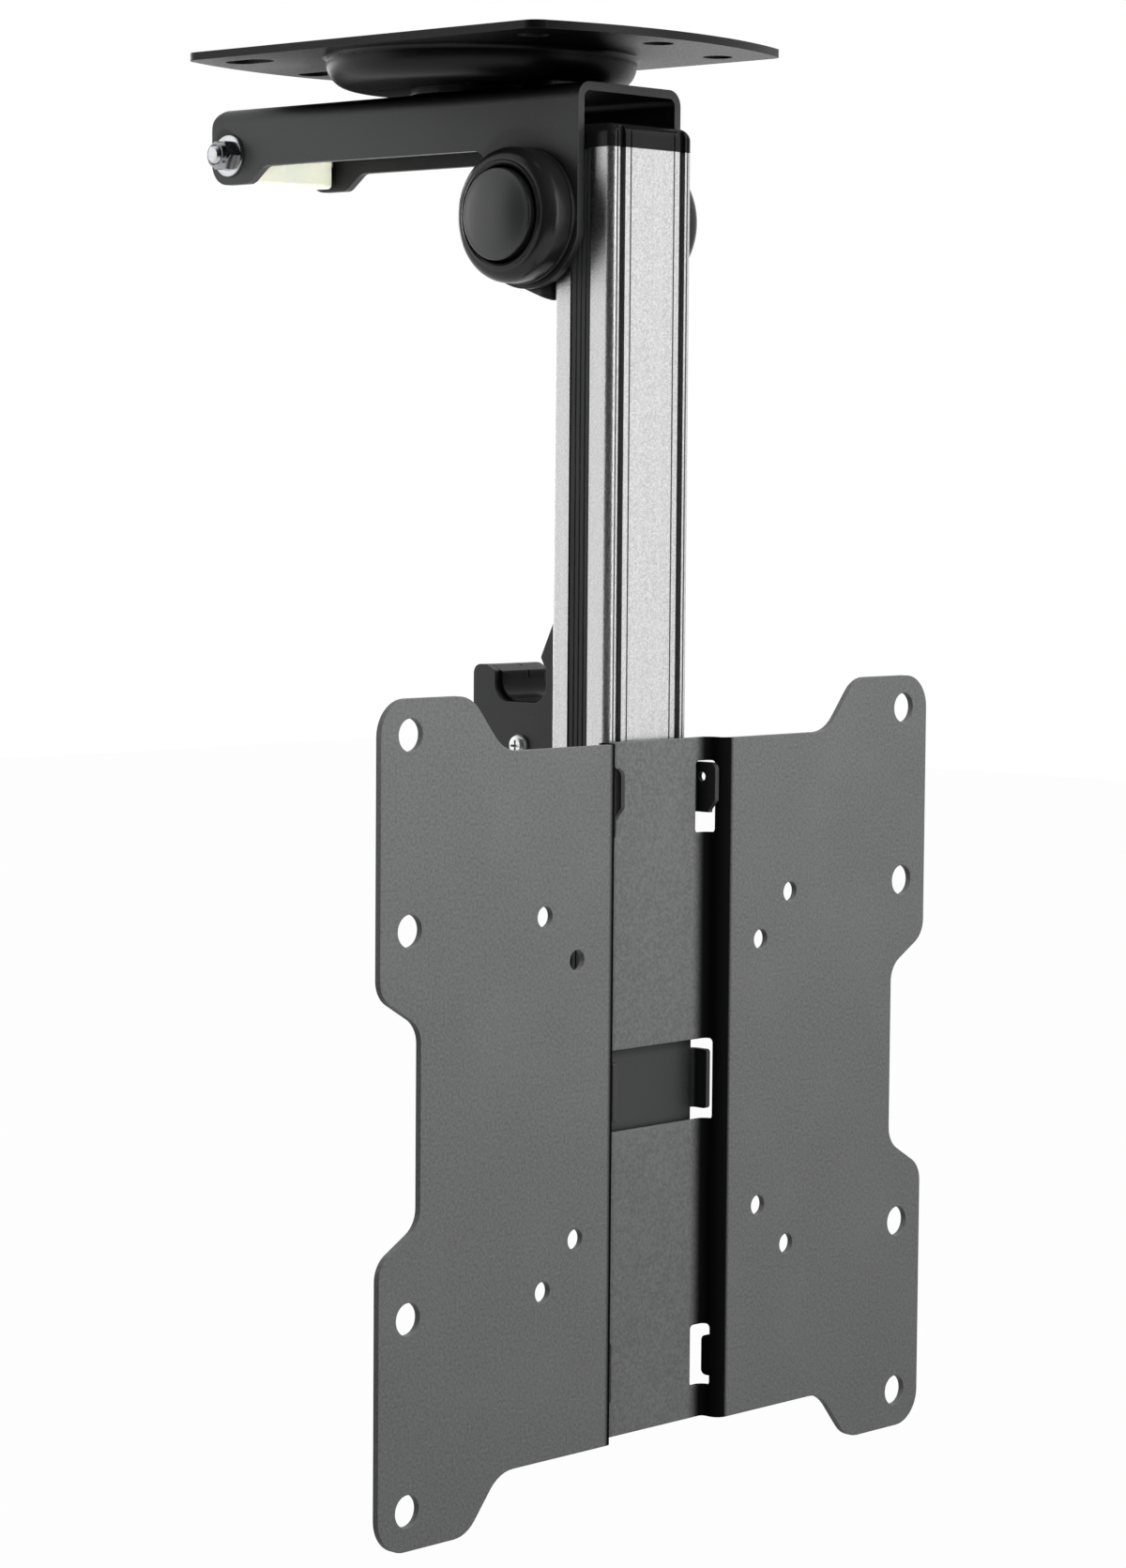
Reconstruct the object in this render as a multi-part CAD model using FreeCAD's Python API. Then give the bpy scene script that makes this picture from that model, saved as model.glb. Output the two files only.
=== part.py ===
import FreeCAD, Part
import math
import os

# Folding under-shelf television mount. Millimetres.
# Origin: centre of the ceiling plate's top face, on the swivel axis. +Z is up, the screen side faces -Y.

os.makedirs("parts", exist_ok=True)
Vec = FreeCAD.Vector

# Gaps between pieces
running_gap = 0.05        # radial, between a turning piece and its pin
slide_gap = 0.1           # between sliding faces and round screws in their holes
side_play = 0.15          # each side of a piece that turns between two cheeks

# Ceiling plate: round-ended sheet with a pressed dish
ceiling_sheet = 2.2
ceiling_width = 100.0
ceiling_length = 155.4
ceiling_end_radius = 131.0
ceiling_corner = 5.0
dish_floor_radius = 36.6
dish_bend = 7.0           # outer radius below
dish_rim_bend = 1.5       # outer radius under the plate
ceiling_hole = 8.5
ceiling_slot_length = 16.5
side_hole_x = 37.0
side_hole_y = 55.5
end_hole_y = 66.5
end_slot_y = 65.0

# Swivel joint
swivel_bolt_d = 10.0
swivel_head_flats = 17.0
swivel_head_height = 5.0
swivel_washer_d = 24.0
swivel_washer_thickness = 1.6
friction_disc_d = 40.0
friction_disc_thickness = 2.05
swivel_nut_height = 8.0

# Arm: folded channel, open below
arm_sheet = 2.4
arm_width = 41.2
arm_bend = 2.1            # inner radius
arm_flange = 17.0         # web top to the flange's lower edge
arm_front_to_hinge = 18.8
hinge_drop = 35.5         # web top down to the hinge axis
hinge_ear_radius = 19.6
hinge_from_swivel = 37.7
catch_reach = 119.5       # hinge axis to the catch block's bolt, level
catch_drop = 13.6         # web top down to that bolt
catch_ear_drop = 21.9     # web top down to the rear ear's lower edge
catch_ear = (8.0, 14.5)   # bolt to where the rear ear's lower edge starts to rise, and where it ends
catch_to_arm_end = 8.0
web_short_of_catch = 5.3

# Fold hinge
hinge_bolt_d = 8.0
hinge_head_flats = 13.0
hinge_head_height = 5.3
hinge_nut_height = 7.0
hinge_washer_d = 20.0
hinge_washer_thickness = 1.6
hinge_tube_d = 11.0
hinge_friction_d = 26.0
hinge_friction_thickness = 0.8
bracket_sheet = 2.5
bracket_bend = 1.5
bracket_above_hinge = 15.4
bracket_below_hinge = 22.6
bracket_reach = 14.5      # hinge axis to the ear's rear edge
bracket_screw_low = 6.5   # bracket's lower edge to its lower screws
bracket_screw_high = 5.0  # bracket's upper edge to its upper screws
cover_radius = 18.4
cover_rim_radius = 14.7
cover_depth = 10.8
cover_barrel = 7.6
button_radius = 12.5
button_gap = 0.5
button_depth = 14.4
button_dome = 0.6
button_round = 1.3
cap_wall = 2.0

# Catch block on a bolt at the arm's rear end
block_height = 15.2
block_depth = 9.0
block_length = 32.0
block_round = 1.2
catch_bolt_d = 5.0
catch_head_flats = 8.0
catch_head_height = 3.5
catch_nut_height = 5.0
catch_bolt_past_nut = 0.9
catch_collar_d = 7.1
catch_washer_d = 12.0
catch_washer_thickness = 1.2

# Column: aluminium extrusion
column_side_gap = 0.85    # each side of the column, inside the friction washers
column_depth = 21.4
column_corner = 2.0
column_above_hinge = 17.9
column_past_seat = 6.2    # the column ends this far below the spring seat
column_past_screws = 9.5  # or below the carrier's lowest screws, whichever is lower
column_behind = 5.9       # rear face to the hinge axis
front_wall = 2.5
rear_wall = 3.0
cavity_corner = 1.5
groove_from_side = 4.4
groove_width = 2.2
groove_depth = 1.3
fine_groove_from_side = (2.3, 7.7)
fine_groove_width = 0.5
fine_groove_depth = 0.35
slot_mouth = 7.3
slot_shift = 0.4          # slot centre behind the column's centre
slot_lip = 1.5
slot_inside = 10.1
slot_depth = 5.4
slot_wall = 1.6           # slot's bottom to the cavity
screw_from_cavity = 3.0   # cavity's side to the screws' axes
seat_screw_from_cavity = 4.0
strip_recess = 0.35
strip_foot = 1.2
strip_line_pitch = 1.7
cap_height = 6.5
cap_round = 3.2
plug_length = 4.5

# Screen plate: one folded sheet with a recessed web
plate_sheet = 1.8
plate_bend = 1.4          # inner radius
plate_drop = 236.1        # hinge axis down to the middle of the screw holes
plate_shift = -0.6        # the outline's middle below that of the holes
side_margin = 10.5        # outer hole columns to the plate's sides
end_margin = 9.9          # outer hole rows to the plate's ends
plate_neck_depth = 14.9   # depth of the step in the upper and lower edges
plate_neck = (66.0, 78.2) # where that step starts and ends, from the middle
plate_waist_depth = 14.7  # depth of the step in the sides
plate_waist_rise = (25.6, 34.2)
plate_corner = 9.5
recess_half_width = 21.4
recess_depth = 6.0
vesa_hole = 8.6
vesa_small_hole = 5.7
vesa_wide = 100.0
vesa_low = 50.0
vesa_inner = 37.5
window_top = 10.7
window_bottom = -11.9
upper_slot = (68.0, 88.0)
lower_slot = (-86.9, -69.5)
tongue = (-84.0, -72.8)
tongue_reach = 3.0
slot_from_centre = 16.2
wall_cut_back = 3.4       # flange front face to the cut in the recess wall
punch_round = 1.2

# Carrier between the screen plate and the column
carrier_sheet = 1.5
carrier_bend = 1.0
carrier_side_gap = 1.5    # carrier's sides to the recess walls' line
carrier_top = 91.0
carrier_bottom = -32.0
hook_top = 87.6
hook_tip = 68.6
hook_depth = 13.8         # hook's top edge to the underside of its root
hook_chin = (10.5, 13.0)  # hook's top edge to where its front edge slopes back
hook_forward = 7.1        # carrier's front face to the hook's front edge
hook_finger = 2.2         # width of the finger that points down, and its distance from the front edge
hook_bore = 2.6
mid_tab = (-8.5, 8.0)
mid_tab_forward = 5.0
carrier_screw_d = 4.4
carrier_screw_z = (62.0, -18.5)
carrier_screw_length = 8.0

# Latch that catches the block when the column is folded up
latch_sheet = 2.0
latch_bend = 1.0
latch_width = 21.6
latch_travel = 6.0
notch_from_rear = 16.5    # column's rear face to the middle of the notch
notch_round = 5.0
nose_hook = 2.0           # how far the nose's tip stands into the notch
nose_tip_height = 12.8    # notch floor to the nose's tip
nose_height = 26.5        # notch floor to the nose's top, at the column
liner_wall = 0.8          # how far the liner stands out of the notch's sides
liner_floor = 1.0         # and out of its floor
liner_edge = 0.8          # liner inside the prong's outer edge
liner_back = 2.0          # and past the notch on the column's side
liner_depth = 16.0        # notch floor to the liner's lower edge
liner_seam = 0.4
liner_seam_x = 2.0
catch_play = 0.4          # seated block to the nose's tip and to the liner
catch_free_depth = 5.7    # seated block to the liner's floor
prong_height = 10.1       # notch floor to the prong's top
prong_bevel = (5.5, 1.6)  # slope on the prong's inner edge: across, down
prong_reach = 34.6        # column's rear face to the prong's outer edge
prong_straight = 18.0     # notch floor to the foot of that edge
latch_waist = 48.0        # notch floor to where the cheeks end
latch_base_length = 99.6
pull_tab_length = 18.0
pull_overlap = 10.0       # straight stretch above the pull tab's bend
guide_screw_d = 6.0
guide_screw_rise = (12.0, 36.0)
guide_head_d = 10.0
guide_head_height = 2.4
liner_screw_d = 3.0
liner_screw_head_d = 6.4
liner_screw_drop = 12.0
spring_radius = 4.0
spring_wire = 1.0
spring_turns = 7
spring_length = 28.0
spring_from_rear = 10.2
spring_pin_d = 4.8
seat_sheet = 2.0
seat_height = 24.0
seat_shelf = 17.0
seat_screw_rise = 9.6
seat_margin = 4.0         # screws' axes to the seat's sides
pan_screw_d = 5.0
pan_head_d = 8.4
pan_head_height = 2.6
pan_screw_length = 9.0

# Places worked out from the sizes above
dish_floor = -ceiling_sheet - dish_rim_bend - dish_bend
arm_top = dish_floor - running_gap - friction_disc_thickness
arm_inside = arm_width / 2 - arm_sheet
hinge_y = -hinge_from_swivel
hinge_z = arm_top - hinge_drop
arm_front = hinge_y - arm_front_to_hinge
catch_y = hinge_y + catch_reach
catch_z = arm_top - catch_drop
arm_rear = catch_y + catch_to_arm_end
web_rear = catch_y - web_short_of_catch
bracket_half = arm_inside - side_play - hinge_friction_thickness
column_width = 2 * (bracket_half - column_side_gap)
cavity_width = column_width - 2 * (slot_depth + slot_wall)
column_rear = hinge_y - column_behind
column_front = column_rear - column_depth
column_middle = column_rear - column_depth / 2
column_top = hinge_z + column_above_hinge
screw_x = cavity_width / 2 - screw_from_cavity
seat_screw_x = cavity_width / 2 - seat_screw_from_cavity
slot_y = column_middle + slot_shift
plate_z = hinge_z - plate_drop
plate_half_width = vesa_wide + side_margin
plate_half_height = vesa_wide + end_margin
carrier_half_width = recess_half_width - carrier_side_gap
carrier_back = column_front
carrier_front = carrier_back - carrier_sheet
web_back = carrier_front - slide_gap
web_front = web_back - plate_sheet
flange_front = web_front - recess_depth

# The block's place in the notch: both lie on one circle about the hinge axis
notch_y = column_rear + notch_from_rear
seat_y = notch_y + (nose_hook - liner_wall) / 2
catch_rise = hinge_drop - catch_drop
catch_distance = math.hypot(catch_reach, catch_rise)
seat_z = hinge_z - math.sqrt(catch_distance ** 2 - (seat_y - hinge_y) ** 2)
catch_tilt = math.atan2(catch_rise, catch_reach) - math.asin((seat_y - hinge_y) / catch_distance)
block_across = block_height * math.cos(catch_tilt) + block_depth * math.sin(catch_tilt)
block_along = block_depth * math.cos(catch_tilt) + block_height * math.sin(catch_tilt)
notch_half = (block_across + nose_hook + liner_wall) / 2 + catch_play
notch_floor = seat_z - block_along / 2 - catch_free_depth - liner_floor
prong_top = notch_floor + prong_height
nose_top = notch_floor + nose_height
latch_back = column_rear + slide_gap
latch_bottom = nose_top - latch_base_length
liner_screw_z = notch_floor - liner_screw_drop
spring_y = column_rear + spring_from_rear
shelf_top = latch_bottom - spring_length
seat_bottom = shelf_top - seat_height
column_bottom = min(seat_bottom - column_past_seat, plate_z + carrier_screw_z[1] - column_past_screws)


def box(x0, x1, y0, y1, z0, z1):
    return Part.makeBox(x1 - x0, y1 - y0, z1 - z0, Vec(x0, y0, z0))


def rod(radius, start, end):
    start, end = Vec(*start), Vec(*end)
    return Part.makeCylinder(radius, (end - start).Length, start, end - start)


def tube(outer, inner, start, end):
    return rod(outer, start, end).cut(rod(inner, start, end))


def cone(radius0, radius1, start, end):
    start, end = Vec(*start), Vec(*end)
    return Part.makeCone(radius0, radius1, (end - start).Length, start, end - start)


def both_sides(shape):
    return [shape, shape.mirror(Vec(0, 0, 0), Vec(1, 0, 0))]


def fuse_all(shapes):
    return shapes[0].fuse(shapes[1:]).removeSplitter()


def save(name, shape):
    shape.exportStep("parts/" + name + ".step")


# A flat outline from corner points (a, b, radius) in the XY, XZ or YZ plane
def placed(plane, a, b):
    return {"XY": Vec(a, b, 0), "XZ": Vec(a, 0, b), "YZ": Vec(0, a, b)}[plane]


def outline(corners, plane):
    edges = []
    count = len(corners)
    starts, ends, arcs = [], [], []
    for i in range(count):
        before, here, after = corners[i - 1], corners[i], corners[(i + 1) % count]
        point = Vec(here[0], here[1], 0)
        back = (Vec(before[0], before[1], 0) - point).normalize()
        ahead = (Vec(after[0], after[1], 0) - point).normalize()
        radius = here[2] if len(here) > 2 else 0
        half = back.getAngle(ahead) / 2
        if radius <= 0 or half < 1e-3 or half > math.pi / 2 - 1e-3:
            starts.append(point)
            ends.append(point)
            arcs.append(None)
            continue
        setback = radius / math.tan(half)
        centre = point + (back + ahead).normalize() * (radius / math.sin(half))
        starts.append(point + back * setback)
        ends.append(point + ahead * setback)
        arcs.append(centre + (point - centre).normalize() * radius)
    for i in range(count):
        if arcs[i] is not None:
            curve = [placed(plane, p.x, p.y) for p in (starts[i], arcs[i], ends[i])]
            edges.append(Part.Arc(*curve).toShape())
        here, after = ends[i], starts[(i + 1) % count]
        if here.distanceToPoint(after) > 1e-6:
            edges.append(Part.makeLine(placed(plane, here.x, here.y), placed(plane, after.x, after.y)))
    return Part.Face(Part.Wire(edges))


def slab(corners, plane, low, high):
    along = {"XY": Vec(0, 0, 1), "XZ": Vec(0, 1, 0), "YZ": Vec(1, 0, 0)}[plane]
    face = outline(corners, plane)
    face.translate(along * low)
    return face.extrude(along * (high - low))


# A bent strip of sheet, seen on its edge: the middle line's points, with an arc at each bend
def bent_sheet(points, inner_radius, sheet, plane, low, high):
    middle_radius = inner_radius + sheet / 2
    path = [Vec(a, b, 0) for a, b in points]
    lines = []
    for side in (1, -1):
        edges = []
        first = (path[1] - path[0]).normalize()
        start = path[0] + Vec(-first.y, first.x, 0) * (side * sheet / 2)
        lines.append([start])
        for i in range(1, len(path) - 1):
            into = (path[i] - path[i - 1]).normalize()
            out = (path[i + 1] - path[i]).normalize()
            turn = 1 if into.cross(out).z > 0 else -1
            setback = middle_radius * math.tan(into.getAngle(out) / 2)
            centre = path[i] - into * setback + Vec(-into.y, into.x, 0) * (turn * middle_radius)
            radius = middle_radius - side * turn * sheet / 2
            enter = centre - Vec(-into.y, into.x, 0) * (turn * radius)
            leave = centre - Vec(-out.y, out.x, 0) * (turn * radius)
            mid = centre + (path[i] - centre).normalize() * radius
            edges += [("line", start, enter), ("arc", enter, mid, leave)]
            start = leave
        last = (path[-1] - path[-2]).normalize()
        end = path[-1] + Vec(-last.y, last.x, 0) * (side * sheet / 2)
        edges.append(("line", start, end))
        lines[-1] += [end, edges]
    (start0, end0, edges0), (start1, end1, edges1) = lines
    every = edges0 + edges1 + [("line", start0, start1), ("line", end0, end1)]
    shapes = []
    for kind, *ends in every:
        spots = [placed(plane, p.x, p.y) for p in ends]
        shapes.append(Part.makeLine(*spots) if kind == "line" else Part.Arc(*spots).toShape())
    along = {"XY": Vec(0, 0, 1), "XZ": Vec(0, 1, 0), "YZ": Vec(1, 0, 0)}[plane]
    face = Part.Face(Part.Wire(Part.__sortEdges__(shapes)))
    face.translate(along * low)
    return face.extrude(along * (high - low))


# Hexagonal prism along an axis, for heads and nuts, with its corners turned off
def hexagon(flats, start, end, chamfer_start=False, chamfer_end=True):
    start, end = Vec(*start), Vec(*end)
    axis = (end - start).normalize()
    height = (end - start).Length
    corner = flats / math.sqrt(3)
    ring = [Vec(corner * math.cos(math.radians(60 * i)), corner * math.sin(math.radians(60 * i)), 0)
            for i in range(7)]
    body = Part.Face(Part.makePolygon(ring)).extrude(Vec(0, 0, height))
    if chamfer_end:
        body = body.common(Part.makeCone(flats / 2 + height / 0.58, flats / 2 * 0.97, height))
    if chamfer_start:
        body = body.common(Part.makeCone(flats / 2 * 0.97, flats / 2 + height / 0.58, height))
    body.Placement = FreeCAD.Placement(start, FreeCAD.Rotation(Vec(0, 0, 1), axis))
    return body


# Pan-head screw whose head bears on a plane, shank along the given direction
def pan_screw(seat, into, shank_radius, head_radius, head_height, length):
    into = Vec(*into)
    seat = Vec(*seat)
    profile = [Vec(0, 0, head_height), Vec(head_radius * 0.55, 0, head_height),
               Vec(head_radius * 0.9, 0, head_height * 0.65), Vec(head_radius, 0, head_height * 0.2),
               Vec(head_radius, 0, 0), Vec(shank_radius, 0, 0), Vec(shank_radius, 0, -length),
               Vec(0, 0, -length)]
    dome = Part.Arc(profile[1], profile[2], profile[3]).toShape()
    edges = [Part.makeLine(profile[0], profile[1]), dome]
    edges += [Part.makeLine(profile[i], profile[i + 1]) for i in range(3, 7)]
    edges.append(Part.makeLine(profile[7], profile[0]))
    screw = Part.Face(Part.Wire(edges)).revolve(Vec(0, 0, 0), Vec(0, 0, 1), 360)
    reach = head_radius * 0.5
    for turn in (0, 90):
        blade = Part.makeBox(2 * reach, head_radius * 0.2, head_height * 0.6,
                             Vec(-reach, -head_radius * 0.1, head_height * 0.4))
        screw = screw.cut(blade.rotate(Vec(0, 0, 0), Vec(0, 0, 1), turn))
    screw.Placement = FreeCAD.Placement(seat, FreeCAD.Rotation(Vec(0, 0, -1), into))
    return screw


def ceiling_plate():
    half = ceiling_width / 2
    far = ceiling_length / 2
    sheet = box(-half, half, -far, far, -ceiling_sheet, 0)
    for side in (-1, 1):
        centre_y = side * (far - ceiling_end_radius)
        sheet = sheet.common(rod(ceiling_end_radius, (0, centre_y, -ceiling_sheet), (0, centre_y, 0)))
    corners = [edge for edge in sheet.Edges
               if edge.BoundBox.YLength < 1e-3 and abs(edge.BoundBox.ZLength - ceiling_sheet) < 1e-3]
    sheet = sheet.makeFillet(ceiling_corner, corners)
    rim = dish_floor_radius + dish_bend + dish_rim_bend
    sheet = sheet.cut(rod(rim, (0, 0, -ceiling_sheet), (0, 0, 0)))

    # The pressed dish: floor, large lower bend, small bend under the plate, one sheet thick
    bend_z = -ceiling_sheet - dish_rim_bend
    low_centre = Vec(dish_floor_radius, 0, bend_z)
    rim_centre = Vec(rim, 0, bend_z)
    thin = dish_bend - ceiling_sheet
    thick = dish_rim_bend + ceiling_sheet
    slant = math.sqrt(0.5)
    bore = swivel_bolt_d / 2 + running_gap
    floor_z = bend_z - dish_bend
    outside = [Vec(bore, 0, floor_z), low_centre + Vec(0, 0, -dish_bend)]
    lower_arc = Part.Arc(outside[1], low_centre + Vec(slant, 0, -slant) * dish_bend,
                         low_centre + Vec(dish_bend, 0, 0)).toShape()
    rim_arc = Part.Arc(rim_centre + Vec(-dish_rim_bend, 0, 0),
                       rim_centre + Vec(-slant, 0, slant) * dish_rim_bend,
                       rim_centre + Vec(0, 0, dish_rim_bend)).toShape()
    rim_top = Part.Arc(rim_centre + Vec(0, 0, thick), rim_centre + Vec(-slant, 0, slant) * thick,
                       rim_centre + Vec(-thick, 0, 0)).toShape()
    upper_arc = Part.Arc(low_centre + Vec(thin, 0, 0), low_centre + Vec(slant, 0, -slant) * thin,
                         low_centre + Vec(0, 0, -thin)).toShape()
    edges = [Part.makeLine(*outside), lower_arc, rim_arc,
             Part.makeLine(Vec(rim, 0, -ceiling_sheet), Vec(rim, 0, 0)), rim_top, upper_arc,
             Part.makeLine(low_centre + Vec(0, 0, -thin), Vec(bore, 0, floor_z + ceiling_sheet)),
             Part.makeLine(Vec(bore, 0, floor_z + ceiling_sheet), outside[0])]
    dish = Part.Face(Part.Wire(edges)).revolve(Vec(0, 0, 0), Vec(0, 0, 1), 360)
    plate = fuse_all([sheet, dish])

    holes = []
    hole_radius = ceiling_hole / 2
    spread = (ceiling_slot_length - ceiling_hole) / 2
    for x in (-side_hole_x, 0, side_hole_x):
        front = end_hole_y if x == 0 else side_hole_y
        rear = end_slot_y if x == 0 else side_hole_y
        holes.append(rod(hole_radius, (x, -front, -ceiling_sheet), (x, -front, 0)))
        for shift in (-spread, spread):
            holes.append(rod(hole_radius, (x, rear + shift, -ceiling_sheet), (x, rear + shift, 0)))
        holes.append(box(x - hole_radius, x + hole_radius, rear - spread, rear + spread, -ceiling_sheet, 0))
    return plate.cut(holes).removeSplitter()


def swivel_stack():
    floor_top = dish_floor + ceiling_sheet
    head_seat = floor_top + running_gap + swivel_washer_thickness
    bolt_radius = swivel_bolt_d / 2
    washer_radius = swivel_washer_d / 2
    hole = bolt_radius + slide_gap
    under = arm_top - arm_sheet
    nut_top = under - swivel_washer_thickness
    nut_bottom = nut_top - swivel_nut_height
    bolt = hexagon(swivel_head_flats, (0, 0, head_seat), (0, 0, head_seat + swivel_head_height))
    save("swivel_bolt", fuse_all([bolt, rod(bolt_radius, (0, 0, nut_bottom - 1.5), (0, 0, head_seat + 1))]))
    save("swivel_upper_washer", tube(washer_radius, hole, (0, 0, floor_top + running_gap), (0, 0, head_seat)))
    save("swivel_friction_disc", tube(friction_disc_d / 2, hole, (0, 0, arm_top),
                                      (0, 0, arm_top + friction_disc_thickness)))
    save("swivel_lower_washer", tube(washer_radius * 0.9, hole, (0, 0, nut_top), (0, 0, under)))
    nut = hexagon(swivel_head_flats, (0, 0, nut_top), (0, 0, nut_bottom + 2.0))
    collar = rod(swivel_head_flats * 0.43, (0, 0, nut_bottom), (0, 0, nut_top - 1))
    save("swivel_nut", fuse_all([nut, collar]).cut(rod(bolt_radius, (0, 0, nut_bottom), (0, 0, nut_top))))


def arm_channel():
    half = arm_width / 2 - arm_sheet / 2
    middle = arm_top - arm_sheet / 2
    deep = arm_top - hinge_drop - hinge_ear_radius
    channel = bent_sheet([(-half, deep), (-half, middle), (half, middle), (half, deep)],
                         arm_bend, arm_sheet, "XZ", arm_front, arm_rear)

    # Side view of the flanges: hinge ear in front, the catch block's ear behind
    edge_z = arm_top - arm_flange
    ear_z = arm_top - catch_ear_drop
    ear_join = hinge_y + math.sqrt(hinge_ear_radius ** 2 - (hinge_z - edge_z) ** 2)
    side = slab([(arm_front, arm_top + 1), (arm_rear, arm_top + 1, 7.0), (arm_rear, ear_z, 6.5),
                 (catch_y - catch_ear[0], ear_z, 4.0), (catch_y - catch_ear[1], edge_z, 4.0), (hinge_y, edge_z),
                 (hinge_y, hinge_z), (arm_front, hinge_z)], "YZ", -arm_width, arm_width)
    ear = rod(hinge_ear_radius, (-arm_width, hinge_y, hinge_z), (arm_width, hinge_y, hinge_z))
    ear = ear.common(box(-arm_width, arm_width, arm_front, arm_rear, deep - 1, arm_top))
    sides = side.fuse(ear)
    throat = [edge for edge in sides.Edges
              if abs(edge.BoundBox.YMin - ear_join) < 0.01 and edge.BoundBox.XLength > arm_width
              and abs(edge.BoundBox.ZMin - edge_z) < 0.01]
    if throat:
        sides = sides.makeFillet(5.0, throat)
    channel = channel.common(sides)

    # The web stops short of the catch block
    inside = arm_inside - arm_bend
    channel = channel.cut(slab([(-inside, web_rear, 3.0), (inside, web_rear, 3.0),
                                (inside, arm_rear + 1), (-inside, arm_rear + 1)], "XY", arm_top - 5, arm_top + 1))
    holes = [rod(swivel_bolt_d / 2 + slide_gap, (0, 0, arm_top - 5), (0, 0, arm_top + 1)),
             rod(hinge_bolt_d / 2 + slide_gap, (-arm_width, hinge_y, hinge_z), (arm_width, hinge_y, hinge_z)),
             rod(catch_bolt_d / 2 + slide_gap, (-arm_width, catch_y, catch_z), (arm_width, catch_y, catch_z))]
    return channel.cut(holes)


def hinge_hardware():
    bolt_radius = hinge_bolt_d / 2
    washer = hinge_washer_d / 2
    out = arm_width / 2
    seat = out + hinge_washer_thickness
    nut_end = seat + hinge_nut_height

    def at(x):
        return (x, hinge_y, hinge_z)

    head = hexagon(hinge_head_flats, at(seat), at(seat + hinge_head_height))
    save("hinge_bolt", fuse_all([head, rod(bolt_radius, at(-nut_end - 1.2), at(seat + 1))]))
    nut = hexagon(hinge_head_flats, at(-seat), at(-nut_end + 1.6))
    nut = fuse_all([nut, rod(hinge_head_flats * 0.43, at(-seat - 1), at(-nut_end))])
    save("hinge_nut", nut.cut(rod(bolt_radius, at(-seat), at(-nut_end))))
    for side, x0, x1 in (("left", -seat, -out), ("right", out, seat)):
        save("hinge_washer_" + side, tube(washer, bolt_radius + slide_gap, at(x0), at(x1)))
    inner = bracket_half
    tube_radius = hinge_tube_d / 2
    save("hinge_tube", tube(tube_radius, bolt_radius + running_gap, at(-inner), at(inner)))
    outer = inner + hinge_friction_thickness
    for side, x0, x1 in (("left", -outer, -inner), ("right", inner, outer)):
        save("hinge_friction_washer_" + side, tube(hinge_friction_d / 2, bolt_radius + slide_gap, at(x0), at(x1)))

    # Cover ring and centre button, turned about the hinge axis
    def turned(points, arcs, side):
        edges = []
        for i in range(len(points)):
            a, b = points[i], points[(i + 1) % len(points)]
            ends = [Vec(side * (out + a[0]), a[1], 0), Vec(side * (out + b[0]), b[1], 0)]
            if i in arcs:
                middle = Vec(side * (out + arcs[i][0]), arcs[i][1], 0)
                edges.append(Part.Arc(ends[0], middle, ends[1]).toShape())
            else:
                edges.append(Part.makeLine(*ends))
        shape = Part.Face(Part.Wire(edges)).revolve(Vec(0, 0, 0), Vec(1, 0, 0), 360)
        shape.translate(Vec(0, hinge_y, hinge_z))
        return shape

    round_x = cover_barrel + (cover_depth - cover_barrel) * 0.72
    round_r = cover_rim_radius + (cover_radius - cover_rim_radius) * 0.72
    bore = button_radius + button_gap
    ring = [(0, cover_radius), (cover_barrel, cover_radius), (cover_depth, cover_rim_radius),
            (cover_depth, bore), (1.2, bore), (1.2, bore + 1.4), (0, bore + 1.4)]
    edge_r = button_radius - button_round
    sphere = (edge_r ** 2 + button_dome ** 2) / (2 * button_dome)
    dome_half = sphere * math.sin(math.asin(edge_r / sphere) / 2)
    dome_x = button_depth - sphere + math.sqrt(sphere ** 2 - dome_half ** 2)
    shoulder = button_depth - button_dome
    lean = button_round * (1 - math.sqrt(0.5))
    cap = [(0, button_radius), (shoulder - button_round, button_radius), (shoulder, edge_r),
           (button_depth, 0), (button_depth - cap_wall, 0), (button_depth - cap_wall, button_radius - cap_wall),
           (0, button_radius - cap_wall)]
    for name, side in (("left", -1), ("right", 1)):
        save("hinge_cover_" + name, turned(ring, {1: (round_x, round_r)}, side))
        arcs = {1: (shoulder - lean, button_radius - lean), 2: (dome_x, dome_half)}
        save("hinge_button_" + name, turned(cap, arcs, side))


def catch_hardware():
    bolt_radius = catch_bolt_d / 2
    out = arm_width / 2
    seat = out + catch_washer_thickness

    def at(x):
        return (x, catch_y, catch_z)

    half_y, half_z = block_depth / 2, block_height / 2
    corners = [(catch_y + y, catch_z + z, block_round) for y, z in
               ((-half_y, -half_z), (half_y, -half_z), (half_y, half_z), (-half_y, half_z))]
    block = slab(corners, "YZ", -block_length / 2, block_length / 2)
    ends = [edge for edge in block.Edges if edge.BoundBox.XLength < 1e-3]
    block = block.makeFillet(block_round * 0.6, ends)
    save("catch_block", block.cut(rod(bolt_radius, at(-out), at(out))))
    head = hexagon(catch_head_flats, at(seat), at(seat + catch_head_height))
    nut_end = -seat - catch_nut_height
    shank_end = nut_end - catch_bolt_past_nut
    shank = fuse_all([rod(bolt_radius, at(shank_end + 0.5), at(seat + 1)),
                      cone(bolt_radius - 0.5, bolt_radius, at(shank_end), at(shank_end + 0.5))])
    save("catch_bolt", fuse_all([head, shank]))
    collar = cone(catch_head_flats * 0.48, catch_collar_d / 2, at(-seat - 2), at(nut_end))
    nut = fuse_all([hexagon(catch_head_flats, at(-seat), at(nut_end + 1.5)), collar])
    save("catch_nut", nut.cut(rod(bolt_radius, at(-seat), at(nut_end))))
    for side, x0, x1 in (("left", -seat, -out), ("right", out, seat)):
        save("catch_washer_" + side, tube(catch_washer_d / 2, bolt_radius + slide_gap, at(x0), at(x1)))


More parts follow.
